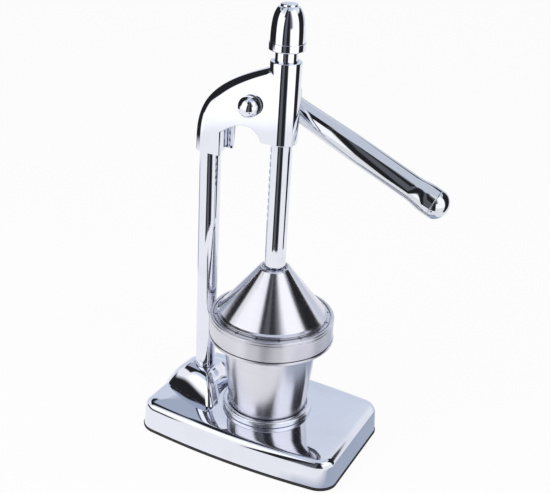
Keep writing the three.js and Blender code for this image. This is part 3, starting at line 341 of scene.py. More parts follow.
# Finishes
def finish(name, colour, metallic):
    material = bpy.data.materials.new(name)
    material.use_nodes = True
    tree = material.node_tree
    shader = tree.nodes["Principled BSDF"]
    shader.inputs["Base Color"].default_value = (*colour, 1)
    shader.inputs["Metallic"].default_value = metallic
    material.diffuse_color = (*colour, 1)
    return material, tree, shader


def varied(tree, mask, low, high):
    spread = node(tree, "ShaderNodeMapRange", {"Value": mask, "To Min": low, "To Max": high})
    return spread.outputs["Result"]


def mixed_colour(tree, mask, first, second):
    mixer = node(tree, "ShaderNodeMix", {0: mask, 6: first, 7: second}, data_type="RGBA")
    return mixer.outputs[2]


def blended(tree, mask, first, second):
    """A colour between two plain ones, by a mask."""
    return mixed_colour(tree, mask, (*first, 1), (*second, 1))


def bumped(tree, height, strength, depth, under=None):
    links = {"Height": height, "Strength": strength, "Distance": depth}
    if under is not None:
        links["Normal"] = under
    return node(tree, "ShaderNodeBump", links).outputs["Normal"]


# Tones of the finishes
PLATE_TONE = (0.80, 0.82, 0.90)
# Painted shade: the stand's chrome plate made darker for the lever, a shaded copy of the same plate
LEVER_SHADED_PLATE_TONE = (0.71, 0.73, 0.78)
SMUDGED_SHARE = 0.89
SATIN_TONE = (0.74, 0.73, 0.77)
SATIN_RING_TONES = ((0.64, 0.64, 0.70), (0.80, 0.80, 0.87))
# Painted shade: the dark ring in the funnel band's groove
GROOVE_SHADE_TONE = (0.03, 0.03, 0.035)
MACHINED_TONE = (0.50, 0.51, 0.53)
BRONZE_TONES = ((0.58, 0.42, 0.22), (0.42, 0.29, 0.14))
RUBBER_TONES = ((0.022, 0.021, 0.023), (0.045, 0.043, 0.045))

# How much marks change the roughness, and the sizes of marks in metres
HAIRLINE_DULLING = 0.05
HAIRLINE_DEPTH = 0.00001
RING_DULLING = 0.05
STAIN_DULLING = 0.05
RING_DEPTH = 0.00002
# Half the width of the painted shade ring in the funnel band's groove
GROOVE_SHADE_HALF_WIDTH = 0.00045


def bright_chrome(name, wave=0.00003, wave_scale=26.0, smudge_scale=34.0, rough=(0.03, 0.14), scratch=0.15,
                  tone=PLATE_TONE):
    """Mirror plate with faint smudges, wiping hairlines and the slow waves of the metal below."""
    material, tree, shader = finish(name, tone, 1.0)
    smudges = placed_group(tree, SMUDGES, Scale=smudge_scale)
    hairlines = placed_group(tree, HAIRLINES)
    smudged = tuple(SMUDGED_SHARE * part for part in tone)
    tree.links.new(blended(tree, smudges, tone, smudged), shader.inputs["Base Color"])
    dulled = maths(tree, "MULTIPLY", hairlines, HAIRLINE_DULLING)
    roughness = maths(tree, "ADD", varied(tree, smudges, *rough), dulled)
    tree.links.new(roughness, shader.inputs["Roughness"])
    slow = bumped(tree, noise(tree, object_place(tree), wave_scale, Detail=1.0), 1.0, wave)
    scratched = bumped(tree, hairlines, scratch, HAIRLINE_DEPTH, slow)
    tree.links.new(scratched, shader.inputs["Normal"])
    return material


def spun_steel(name, roughness, fineness, groove_shade_height=None):
    """Satin stainless steel with the rings of its polishing, soft stains and, at one height, a thin dark ring
    of painted shade for a groove.
    """
    material, tree, shader = finish(name, SATIN_TONE, 1.0)
    shader.inputs["Anisotropic"].default_value = 0.85
    shader.inputs["Anisotropic Rotation"].default_value = 0.25
    tangent = node(tree, "ShaderNodeTangent", direction_type="RADIAL", axis="Z")
    tree.links.new(tangent.outputs[0], shader.inputs["Tangent"])
    marks = placed_group(tree, SPIN_MARKS, Fineness=fineness)
    stains = placed_group(tree, SMUDGES, Scale=22.0)
    tone = blended(tree, marks, *SATIN_RING_TONES)
    # Painted shade: a thin dark ring at the given height, standing in for the shade in a groove
    if groove_shade_height is not None:
        height = node(tree, "ShaderNodeSeparateXYZ", {"Vector": object_place(tree)}).outputs["Z"]
        away = maths(tree, "ABSOLUTE", maths(tree, "SUBTRACT", height, groove_shade_height))
        line = maths(tree, "LESS_THAN", away, GROOVE_SHADE_HALF_WIDTH)
        tone = mixed_colour(tree, line, tone, (*GROOVE_SHADE_TONE, 1))
    tree.links.new(tone, shader.inputs["Base Color"])
    ringed = varied(tree, marks, roughness - RING_DULLING, roughness + RING_DULLING)
    stained = maths(tree, "MULTIPLY", stains, STAIN_DULLING)
    tree.links.new(maths(tree, "ADD", ringed, stained), shader.inputs["Roughness"])
    tree.links.new(bumped(tree, marks, 0.12, RING_DEPTH), shader.inputs["Normal"])
    return material


def machined_steel(name, low, high, scratch, depth):
    material, tree, shader = finish(name, MACHINED_TONE, 1.0)
    smudges = placed_group(tree, SMUDGES, Scale=120.0, Cover=0.6)
    hairlines = placed_group(tree, HAIRLINES, Density=1600.0)
    tree.links.new(varied(tree, smudges, low, high), shader.inputs["Roughness"])
    tree.links.new(bumped(tree, hairlines, scratch, depth), shader.inputs["Normal"])
    return material


def grained(name, tones, metallic, low, high, scale, depth):
    """Rubber or bronze: a grain that tints, roughens and lifts the surface."""
    material, tree, shader = finish(name, tones[0], metallic)
    grain = placed_group(tree, GRAIN, Scale=scale)
    smudges = placed_group(tree, SMUDGES, Scale=60.0)
    tree.links.new(blended(tree, smudges, *tones), shader.inputs["Base Color"])
    tree.links.new(varied(tree, grain, low, high), shader.inputs["Roughness"])
    tree.links.new(bumped(tree, grain, 0.5, depth), shader.inputs["Normal"])
    return material


# The height of the groove just over the funnel band's lower lip, where a thin dark ring of painted shade lies
# on the band
BAND_GROOVE_HEIGHT = 102

STAND_CHROME = bright_chrome("stand_chrome")
# The lever's chrome: a copy of the stand's plate with painted shade in its tone
LEVER_SHADED_CHROME = bright_chrome("lever_shaded_chrome", wave_scale=30.0, smudge_scale=24.0, tone=LEVER_SHADED_PLATE_TONE)
KNOB_CHROME = bright_chrome("knob_chrome", wave=0.00001, wave_scale=40.0, smudge_scale=60.0)
CAST_CHROME = bright_chrome("cast_chrome", wave=0.00009, wave_scale=34.0)
ROD_CHROME = bright_chrome("rod_chrome", wave=0.00001, wave_scale=40.0, smudge_scale=50.0)
PAN_CHROME = bright_chrome("pan_chrome", wave=0.00008, wave_scale=14.0, smudge_scale=18.0)
RING_CHROME = bright_chrome("ring_chrome", wave=0.00001, smudge_scale=40.0, rough=(0.24, 0.32), scratch=0.02)
BELL_STEEL = spun_steel("bell_steel", roughness=0.17, fineness=2200.0)
CUP_STEEL = spun_steel("cup_steel", roughness=0.2, fineness=3000.0)
# The funnel band's steel carries the painted shade ring in its groove
BAND_STEEL = spun_steel("band_steel", roughness=0.32, fineness=3200.0, groove_shade_height=BAND_GROOVE_HEIGHT * MM)
FASTENER_STEEL = machined_steel("fastener_steel", low=0.24, high=0.5, scratch=0.4, depth=0.00002)
BUSH_BRONZE = grained("bush_bronze", BRONZE_TONES, 1.0, low=0.3, high=0.5, scale=2500.0, depth=0.00003)
MAT_RUBBER = grained("mat_rubber", RUBBER_TONES, 0.0, low=0.55, high=0.85, scale=1800.0, depth=0.00006)


# Repeated cutters: one tool copied along Z, or round the Z axis
def repeater(name, inputs, places):
    """A tree that copies its geometry to points, then makes the copies real and gives them a material."""
    tree = bpy.data.node_groups.new(name, "GeometryNodeTree")
    tree.is_modifier = True
    tree.interface.new_socket(name="Tool", in_out="INPUT", socket_type="NodeSocketGeometry")
    for label, kind in inputs + [("Finish", "NodeSocketMaterial")]:
        tree.interface.new_socket(name=label, in_out="INPUT", socket_type=kind)
    tree.interface.new_socket(name="Copies", in_out="OUTPUT", socket_type="NodeSocketGeometry")
    given = tree.nodes.new("NodeGroupInput")
    result = tree.nodes.new("NodeGroupOutput")
    position, rotation = places(tree, given.outputs)
    points = node(tree, "GeometryNodePoints", {"Count": given.outputs["Count"], "Position": position})
    links = {"Points": points.outputs[0], "Instance": given.outputs["Tool"]}
    if rotation is not None:
        links["Rotation"] = rotation
    copies = node(tree, "GeometryNodeInstanceOnPoints", links)
    real = node(tree, "GeometryNodeRealizeInstances", {"Geometry": copies.outputs[0]})
    coating = {"Geometry": real.outputs[0], "Material": given.outputs["Finish"]}
    coated = node(tree, "GeometryNodeSetMaterial", coating)
    tree.links.new(coated.outputs[0], result.inputs["Copies"])
    return tree


def row_places(tree, given):
    index = tree.nodes.new("GeometryNodeInputIndex").outputs[0]
    height = maths(tree, "MULTIPLY", index, given["Spacing"])
    return node(tree, "ShaderNodeCombineXYZ", {"Z": height}).outputs[0], None


def circle_places(tree, given):
    index = tree.nodes.new("GeometryNodeInputIndex").outputs[0]
    share = maths(tree, "DIVIDE", maths(tree, "ADD", index, given["Phase"]), given["Count"])
    turn = maths(tree, "MULTIPLY", share, 2 * math.pi)
    x = maths(tree, "MULTIPLY", maths(tree, "COSINE", turn), given["Radius"])
    y = maths(tree, "MULTIPLY", maths(tree, "SINE", turn), given["Radius"])
    position = node(tree, "ShaderNodeCombineXYZ", {"X": x, "Y": y, "Z": given["Height"]})
    return position.outputs[0], node(tree, "ShaderNodeCombineXYZ", {"Z": turn}).outputs[0]


TOOTH_ROW = repeater("tooth_row", [("Count", "NodeSocketInt"), ("Spacing", "NodeSocketFloat")], row_places)
HOLE_CIRCLE = repeater(
    "hole_circle",
    [("Count", "NodeSocketInt"), ("Radius", "NodeSocketFloat"), ("Height", "NodeSocketFloat"),
     ("Phase", "NodeSocketFloat")],
    circle_places,
)


def repeated(tool, tree, **values):
    """A body copied by one of the trees, as a plain mesh object."""
    obj = as_object("cutter", tool)
    change = obj.modifiers.new("copies", "NODES")
    change.node_group = tree
    for item in tree.interface.items_tree:
        if item.item_type == "SOCKET" and item.in_out == "INPUT" and item.name in values:
            change[item.identifier] = values[item.name]
    return applied(obj)


# Bores and fastener sizes that several pieces share
SCREW_RADIUS = 3
SCREW_CLEARANCE = 3.3
SCREW_HEAD_RADIUS = 5.5
SCREW_HEX = 2.3
THREAD_BORE = 4.3


# Work that several pieces share
def upright(x, radius, bottom, top, edge=0.0, sides=128):
    return moved(disc(radius, bottom, top, sides, edge), x=x)


def block(low, high):
    x, y, z = zip(low, high)
    return extruded([(x[0], z[0]), (x[1], z[0]), (x[1], z[1]), (x[0], z[1])], y[0], y[1])


def hexagon(radius, bottom, top):
    turns = [i * math.pi / 3 for i in range(6)]
    return extruded([(radius * math.cos(turn), radius * math.sin(turn)) for turn in turns], bottom, top, "Z")


def washer(inner, outer, bottom, top, edge=0.25):
    section = [(inner, bottom), (outer, bottom), (outer, top), (inner, top)]
    return turned(profiled(section, (edge / 2, edge, edge, edge / 2)), 96, 4)


def smooth_step(share):
    return share * share * (3 - 2 * share)


def quarter_round(radius, start, rise, steps=16):
    """Profile points of a quarter of an ellipse, from its widest place up to just short of the axis."""
    turns = [i / steps * math.pi / 2 for i in range(1, steps)]
    return [(radius * math.cos(turn), start + rise * math.sin(turn)) for turn in turns]


def cubic(a, b, c, d, steps):
    a, b, c, d = (Vector(p) for p in (a, b, c, d))
    points = []
    for i in range(steps + 1):
        t = i / steps
        points.append(a * (1 - t) ** 3 + b * 3 * t * (1 - t) ** 2 + c * 3 * t * t * (1 - t) + d * t ** 3)
    return [(p.x, p.y) for p in points]


# Base: pressed pan, rubber mat and the ring that holds the cup
BASE_LENGTH = 189
BASE_WIDTH = 126
BASE_MIDDLE_X = -6.05
BASE_CORNER = 15
BASE_CORNER_LEAST = 2.5
BASE_BOW = 6.4
PAN_BOTTOM = 3
PAN_TOP = 27.5
PAN_WALL = 1.5
PAN_LEAN = 1.2
PAN_EDGE = 7.5
PAN_EDGE_TURN = math.radians(85)
PAN_CROWN = 0.7
PAN_CROWN_REACH = 22
PAN_SEAT = PAN_TOP + SEAT_GAP
MAT_LIP = 0.6
MAT_ROUND = 0.5
MAT_PLUG_RISE = 5
MAT_PLUG_WALL = 3
RING_BORE = 35.3
RING_RADIUS = 40
RING_HEIGHT = 5.2
RING_TOP = PAN_SEAT + RING_HEIGHT
RING_ROUNDS = (0.4, 0.5, 2.2, 1.1)


def base_plan(inset, height, corner_steps=16, side_steps=60):
    """The base's plan, drawn in by the inset: round corners, and long sides that bow out in the middle."""
    half_length = BASE_LENGTH / 2 - inset
    half_width = BASE_WIDTH / 2 - inset
    radius = max(BASE_CORNER - inset, BASE_CORNER_LEAST)
    ring = []
    for quarter, (sx, sy) in enumerate([(1, -1), (1, 1), (-1, 1), (-1, -1)]):
        for i in range(corner_steps + 1):
            turn = (quarter - 1 + i / corner_steps) * math.pi / 2
            ring.append((sx * (half_length - radius) + radius * math.cos(turn),
                         sy * (half_width - radius) + radius * math.sin(turn)))
        if sx == sy:
            for i in range(1, side_steps):
                ring.append((sx * (half_length - radius) * (1 - 2 * i / side_steps), sy * half_width))
    bow_share = BASE_BOW / (BASE_WIDTH / 2)
    return [(x + BASE_MIDDLE_X, y * (1 - bow_share * (x / (BASE_LENGTH / 2)) ** 2), height) for x, y in ring]


def pan_rings(inset, bottom, top, steps=12):
    """The pan's skin from its foot up over the edge, with a slight crown before the flat."""
    radius = PAN_EDGE - inset
    rings = [base_plan(inset, bottom)]
    for i in range(steps + 1):
        turn = i / steps * PAN_EDGE_TURN
        rings.append(base_plan(inset + PAN_LEAN + radius * (1 - math.cos(turn)),
                               top - PAN_CROWN - radius * (math.sin(PAN_EDGE_TURN) - math.sin(turn))))
    start = inset + PAN_LEAN + radius * (1 - math.cos(PAN_EDGE_TURN))
    for i in range(1, steps + 1):
        share = i / steps
        rings.append(base_plan(start + (PAN_CROWN_REACH - start) * share, top - PAN_CROWN * (1 - share) ** 2))
    return rings


def make_base():
    inner = pan_rings(PAN_WALL, PAN_BOTTOM, PAN_TOP - PAN_WALL)[::-1]
    outer = pan_rings(0, PAN_BOTTOM, PAN_TOP)
    finished("base_pan_pressing", capped(inner + outer), PAN_CHROME, "frame", "base_pan",
             slot="chrome_plate")

    top = PAN_BOTTOM - SEAT_GAP
    third = MAT_ROUND / 3
    wall_lean = PAN_LEAN / (PAN_TOP - PAN_BOTTOM - PAN_EDGE)
    hug = PAN_WALL + SEAT_GAP + wall_lean * MAT_PLUG_RISE
    outside = [(MAT_ROUND, 0), (third, third), (0, MAT_ROUND), (0, top - MAT_ROUND), (third, top - third),
               (MAT_ROUND, top)]
    rings = [base_plan(inset - MAT_LIP, height) for inset, height in outside]
    for inset, height in ((hug, top), (hug, top + MAT_PLUG_RISE),
                          (hug + MAT_PLUG_WALL, top + MAT_PLUG_RISE), (hug + MAT_PLUG_WALL, top)):
        rings.append(base_plan(inset, height))
    finished("rubber_mat", capped(rings), MAT_RUBBER, "frame", "base_mat", slot="mat_rubber")

    section = [(RING_BORE, PAN_SEAT), (RING_RADIUS, PAN_SEAT), (RING_RADIUS, RING_TOP), (RING_BORE, RING_TOP)]
    ring = turned(profiled(section, RING_ROUNDS), steps=8)
    finished("cup_ring", ring, RING_CHROME, "frame", "cup_seat_ring", slot="chrome_plate")


# Dome under the post, and the post
DOME_TOP = 48.7
DOME_WALL = 3
DOME_PAD = 10
DOME_LEAST_SPREAD = 0.5
DOME_LIP = 0.05
DOME_REAR = (-32.5, -19.2)
DOME_REAR_ROUND = 12
DOME_SIDE = (26, -35.4)
DOME_SIDE_ROUND = 5
DOME_RING_GAP = 4.3
DOME_SCALLOP = RING_RADIUS + DOME_RING_GAP
DOME_SCALLOP_TURN = math.radians(32)
POST_RADIUS = 9
POST_BORE = 7.5
POST_TOP = 274.4
POST_ROUNDS = (0, 0.2, 0.3, 0)


def rounded(corners, steps=12):
    """A closed plan through corners given as x, y and the radius that rounds each one."""
    points = [Vector(corner[:2]) for corner in corners]
    plan = []
    for i, corner in enumerate(points):
        radius = corners[i][2]
        if not radius:
            plan.append(corner)
            continue
        to_last = (points[i - 1] - corner).normalized()
        to_next = (points[(i + 1) % len(points)] - corner).normalized()
        half = to_last.angle(to_next) / 2
        centre = corner + (to_last + to_next).normalized() * radius / math.sin(half)
        first = corner + to_last * radius / math.tan(half) - centre
        sweep = math.pi - 2 * half
        plan += [centre + Matrix.Rotation(sweep * k / steps, 2) @ first for k in range(steps + 1)]
    return plan


def evened(plan, gap=1.0):
    """A closed plan with points added, so that no two are much further apart than the gap."""
    even = []
    for start, end in zip(plan, plan[1:] + plan[:1]):
        count = max(1, round((end - start).length / gap))
        even += [start.lerp(end, k / count) for k in range(count)]
    return even


def dome_plan(half_steps=12):
    """The dome's plan about the post: wider towards the cup, and scalloped round the cup's ring."""
    near = [(*DOME_REAR, DOME_REAR_ROUND), (*DOME_SIDE, DOME_SIDE_ROUND)]
    for k in range(half_steps + 1):
        turn = DOME_SCALLOP_TURN * (k / half_steps - 1)
        near.append((-POST_X - DOME_SCALLOP * math.cos(turn), DOME_SCALLOP * math.sin(turn), 0))
    far = [(x, -y, radius) for x, y, radius in near[-2::-1]]
    return evened(rounded(near + far))


def dome_skin(inset, bottom, top, steps=40):
    """Rings from the dome's foot to the flat pad that the post stands on."""
    foot = PAN_SEAT + DOME_LIP
    least = DOME_PAD + DOME_LEAST_SPREAD
    plan = [(point.normalized(), max(point.length - inset, least)) for point in dome_plan()]
    places = [(1, bottom)]
    for k in range(steps + 1):
        share = 1 - k / steps
        places.append((share, foot + (top - foot) * (1 - share ** 2)))
    rings = []
    for share, height in places:
        spokes = [(way, DOME_PAD + (reach - DOME_PAD) * share) for way, reach in plan]
        rings.append([(POST_X + way.x * length, way.y * length, height) for way, length in spokes])
    return capped(rings)


def make_post_dome():
    below = PAN_SEAT - OVERRUN
    above = DOME_TOP + OVERRUN
    core = upright(POST_X, DOME_PAD, below - OVERRUN, above)
    hollow = combined("dome_hollow", dome_skin(DOME_WALL, below, DOME_TOP - DOME_WALL), ("DIFFERENCE", core))
    dome = combined("post_dome_casting", dome_skin(0, PAN_SEAT, DOME_TOP), ("DIFFERENCE", hollow),
                    ("DIFFERENCE", upright(POST_X, THREAD_BORE, below, above)))
    finished("post_dome_casting", dome, PAN_CHROME, "frame", "post_dome", slot="chrome_plate", sharp=40)


def make_post():
    foot = DOME_TOP + SEAT_GAP
    section = [(POST_BORE, foot), (POST_RADIUS, foot), (POST_RADIUS, POST_TOP), (POST_BORE, POST_TOP)]
    tube = turned(profiled(section, POST_ROUNDS), sides=128)
    finished("post_pillar", moved(tube, x=POST_X), STAND_CHROME, "frame", "post_tube", slot="chrome_plate")


# Head casting: a leg clamped on the post, an arch over the throat and the rod's guide
LEG_X = (-76.75, -49.55)
LEG_BOTTOM = 256.4
LEG_TRIM = 12
LEG_RADIUS = 11.7
LEG_STRAIGHT = 5.6
SHOULDER_EDGE = 8.5
ARCH_EDGE = 0.9
ARCH_LEFT_Z = 276
ARCH_RIGHT_X = -13
ARCH_CROWN = (-27.985, 286)
HEAD_TOP = 335.6
HEAD_END_X = 12
HEAD_HALF = 12.5
HEAD_WALL = 3
HOLLOW_HALF = 9.5
GUIDE_RADIUS = 12.7
GUIDE_BOTTOM = 274.6
GUIDE_TOP = 340.5
GUIDE_EDGE = 0.8
BAR_BORE = 9.3
SOCKET_TOP = 274.7
PINION_WELL = 18.8
PINION_WELL_HALF = 7.6
BUSH_SEAT = 8.6
SET_SCREW_RISE = 16
SET_SCREW_END = 12.2
SET_SCREW_EDGE = 0.4
SET_SCREW_HEX = 1.5
SET_SCREW_HEX_FLOOR = 10.2


def shoulder_curve(steps=48):
    """From the leg's straight outer edge up to the guide; the numbers are shares of the span."""
    start = Vector((LEG_X[0], LEG_BOTTOM + LEG_STRAIGHT))
    end = Vector((-GUIDE_RADIUS * math.sqrt(0.5), HEAD_TOP))
    span = end - start
    return cubic(start, start + Vector((0, 0.5 * span.y)),
                 start + Vector((0.25 * span.x, 0.75 * span.y)), end, steps)


def arch_curve(steps=24):
    """From the guide's foot over the crown to the leg; the numbers are shares of each half's span."""
    left = Vector((LEG_X[1], ARCH_LEFT_Z))
    right = Vector((ARCH_RIGHT_X, GUIDE_BOTTOM))
    crown = Vector(ARCH_CROWN)
    fall, rise = right - crown, crown - left
    falling = cubic(right, (right.x - 0.15 * fall.x, right.y - 0.55 * fall.y),
                    (crown.x + 0.51 * fall.x, crown.y), crown, steps)
    rising = cubic(crown, (crown.x - 0.36 * rise.x, crown.y),
                   (left.x + 0.15 * rise.x, left.y + 0.36 * rise.y), left, steps)
    return falling + rising[1:]


def drawn_in(outline, insets):
    """An outline drawn in along its own normals, each point by its own inset."""
    drawn = []
    for i, point in enumerate(outline):
        here = Vector(point)
        first = (here - Vector(outline[i - 1])).normalized()
        second = (Vector(outline[(i + 1) % len(outline)]) - here).normalized()
        normal = (first + second).normalized()
        stretch = insets[i] / max(normal.dot(second), math.sqrt(0.5))
        drawn.append((here.x - normal.y * stretch, here.y + normal.x * stretch))
    return drawn


def head_skin(steps=10):
    """The casting's outside: full round edges down the leg, smaller ones over the shoulder."""
    shoulder, arch = shoulder_curve(), arch_curve()
    outline = shoulder + [(HEAD_END_X, HEAD_TOP), (HEAD_END_X, GUIDE_BOTTOM)] + arch
    outline += [(LEG_X[1], LEG_BOTTOM - LEG_TRIM), (LEG_X[0], LEG_BOTTOM - LEG_TRIM)]
    edges = []
    for i in range(len(shoulder)):
        share = min(2 * i / (len(shoulder) - 1), 1)
        edges.append(LEG_RADIUS + (SHOULDER_EDGE - LEG_RADIUS) * smooth_step(share))
    edges += [SHOULDER_EDGE, ARCH_EDGE] + [ARCH_EDGE] * len(arch) + [ARCH_EDGE, LEG_RADIUS]
    outline.reverse()
    edges.reverse()
    rings = []
    for side in (-1, 1):
        for i in range(steps + 1):
            turn = (steps - i if side < 0 else i) / steps * math.pi / 2
            inset = drawn_in(outline, [edge * (1 - math.cos(turn)) for edge in edges])
            depths = [side * (HEAD_HALF - edge * (1 - math.sin(turn))) for edge in edges]
            rings.append([(x, depth, z) for (x, z), depth in zip(inset, depths)])
    return capped(rings)


def head_hollow():
    """The space inside, a wall's thickness under the shoulder."""
    shoulder = shoulder_curve()
    walled = []
    for i, (x, z) in enumerate(shoulder):
        before = Vector(shoulder[max(i - 1, 0)])
        along = (Vector(shoulder[min(i + 1, len(shoulder) - 1)]) - before).normalized()
        walled.append((x + along.y * HEAD_WALL, z - along.x * HEAD_WALL))
    floor = LEG_BOTTOM - OVERRUN
    outline = [(walled[0][0], floor)] + walled + [(walled[-1][0], floor)]
    return extruded(outline, -HOLLOW_HALF, HOLLOW_HALF)


def across_leg(body):
    """Lays work turned about Z through the leg's wall, pointing to the far side."""
    return moved(spun(body, -math.pi / 2, "X"), x=POST_X, z=LEG_BOTTOM + SET_SCREW_RISE)


def make_head():
    past = HEAD_HALF + OVERRUN
    trim = block((LEG_X[0] - OVERRUN, -past, LEG_BOTTOM), (0, past, GUIDE_TOP))
    skin = combined("head_skin", head_skin(), ("INTERSECT", trim))
    boss = upright(POST_X, LEG_RADIUS, LEG_BOTTOM, SOCKET_TOP + HEAD_WALL)
    leg_boss = combined("leg_boss", boss, ("INTERSECT", twin(skin)))
    casting = combined(
        "head_body", skin,
        ("DIFFERENCE", head_hollow()),
        ("UNION", leg_boss),
        ("UNION", upright(0, GUIDE_RADIUS, GUIDE_BOTTOM, GUIDE_TOP, GUIDE_EDGE, 160)),
        ("DIFFERENCE", upright(POST_X, BAR_BORE, LEG_BOTTOM - OVERRUN, SOCKET_TOP)),
        ("DIFFERENCE", upright(0, BAR_BORE, GUIDE_BOTTOM - OVERRUN, GUIDE_TOP + OVERRUN)),
        ("DIFFERENCE", along_shaft(disc(PINION_WELL, -PINION_WELL_HALF, PINION_WELL_HALF, 128))),
        ("DIFFERENCE", along_shaft(disc(BUSH_SEAT, -past, past))),
        ("DIFFERENCE", across_leg(disc(SCREW_CLEARANCE, POST_RADIUS, past, 48))),
    )
    finished("head_body", casting, CAST_CHROME, "frame", "head_casting", slot="chrome_plate", sharp=30)

    pin = disc(SCREW_RADIUS, BAR_BORE, SET_SCREW_END, 48, SET_SCREW_EDGE)
    key = hexagon(SET_SCREW_HEX, SET_SCREW_HEX_FLOOR, SET_SCREW_END + OVERRUN)
    screw = combined("grub_screw", across_leg(pin), ("DIFFERENCE", across_leg(key)))
    finished("grub_screw", screw, FASTENER_STEEL, "frame", "head_set_screw", slot="fastener_steel")


# Shaft's bushes, washers and nut: places along the shaft are from the middle of the head
HEAD_FACE = HEAD_HALF + SEAT_GAP
SHAFT_BORE = 6.3
BUSH_FLANGE = 10.5
BUSH_BODY = 8.3
BUSH_INNER_FACE = 7.7
BUSH_FLANGE_FACE = 9.2
NUT_WASHER_RADIUS = 8
NUT_WASHER_THICKNESS = 1.2
THRUST_RING_RADIUS = 11.5
THRUST_RING_THICKNESS = 1
NUT_RADIUS = 8.8
NUT_FACE = HEAD_FACE + NUT_WASHER_THICKNESS + SEAT_GAP
NUT_BAND = 2
NUT_DOME = 7
NUT_THREAD_DEPTH = 5.5
NUT_EDGE = 0.3


def make_shaft_fittings():
    bush = [(SHAFT_BORE, BUSH_INNER_FACE), (BUSH_FLANGE, BUSH_INNER_FACE), (BUSH_FLANGE, BUSH_FLANGE_FACE),
            (BUSH_BODY, BUSH_FLANGE_FACE), (BUSH_BODY, HEAD_HALF), (SHAFT_BORE, HEAD_HALF)]
    for name, side in (("near_bush", -1), ("far_bush", 1)):
        turning = along_shaft(turned([(radius, side * y) for radius, y in bush], 96))
        finished(name + "_turning", turning, BUSH_BRONZE, "frame", name, slot="bush_bronze")

    under_nut = washer(THREAD_BORE, NUT_WASHER_RADIUS, -HEAD_FACE - NUT_WASHER_THICKNESS, -HEAD_FACE)
    finished("nut_washer", along_shaft(under_nut), FASTENER_STEEL, "lever", "near_washer",
             slot="fastener_steel")
    under_hub = washer(SHAFT_BORE, THRUST_RING_RADIUS, HEAD_FACE, HEAD_FACE + THRUST_RING_THICKNESS)
    finished("lever_thrust_ring", along_shaft(under_hub), BUSH_BRONZE, "lever", "thrust_washer",
             slot="bush_bronze")

    thread_end = -NUT_FACE - NUT_THREAD_DEPTH
    shoulder = -NUT_FACE - NUT_BAND
    nut = [(THREAD_BORE, -NUT_FACE, NUT_EDGE), (NUT_RADIUS, -NUT_FACE, NUT_EDGE), (NUT_RADIUS, shoulder)]
    nut += quarter_round(NUT_RADIUS, shoulder, -NUT_DOME)
    nut += [(0, shoulder - NUT_DOME), (0, thread_end), (THREAD_BORE, thread_end)]
    finished("domed_nut", along_shaft(turned(nut, 96)), STAND_CHROME, "lever", "dome_nut",
             slot="chrome_plate")


# Lever: its arm swells and flares away from the shaft; hub and boss lie along the shaft
ARM_START = 8
ARM_END = 158
ARM_THIN = 9.4
ARM_FULL = 10.7
ARM_FLARED = 12.4
ARM_SWELL = (20, 84.8)
ARM_FLARE = (136, 152.5)
ARM_EDGE = 0.3
HUB_RADIUS = 20
HUB_WIDTH = 21
HUB_NEAR = LEVER_MID_Y - HUB_WIDTH / 2
HUB_FAR = LEVER_MID_Y + HUB_WIDTH / 2
HUB_EDGE = 3
BOSS_RADIUS = 12
BOSS_FACE = HEAD_FACE + THRUST_RING_THICKNESS + SEAT_GAP
BOSS_EDGE = 0.4
SQUARE_HALF = 4.7
SQUARE_START = HUB_NEAR + SEAT_GAP
CAP_SOCKET = 8
CAP_SOCKET_START = 132
CAP_PLUG = 7.7
CAP_PLUG_START = 142
CAP_ROUND_START = 158.9
LEVER_LENGTH = 170
HUB_WASHER_RADIUS = 9
HUB_WASHER_THICKNESS = 1.5
HUB_SCREW_LENGTH = 15.8
HUB_SCREW_HEAD = 3.6
HUB_SCREW_HEX_DEPTH = 2.4


def eased(first, last, stretch, steps=24):
    """Profile points that lead smoothly from one radius to another over a stretch of height."""
    start, end = stretch
    shares = [i / steps for i in range(steps + 1)]
    return [(first + (last - first) * smooth_step(share), start + (end - start) * share) for share in shares]


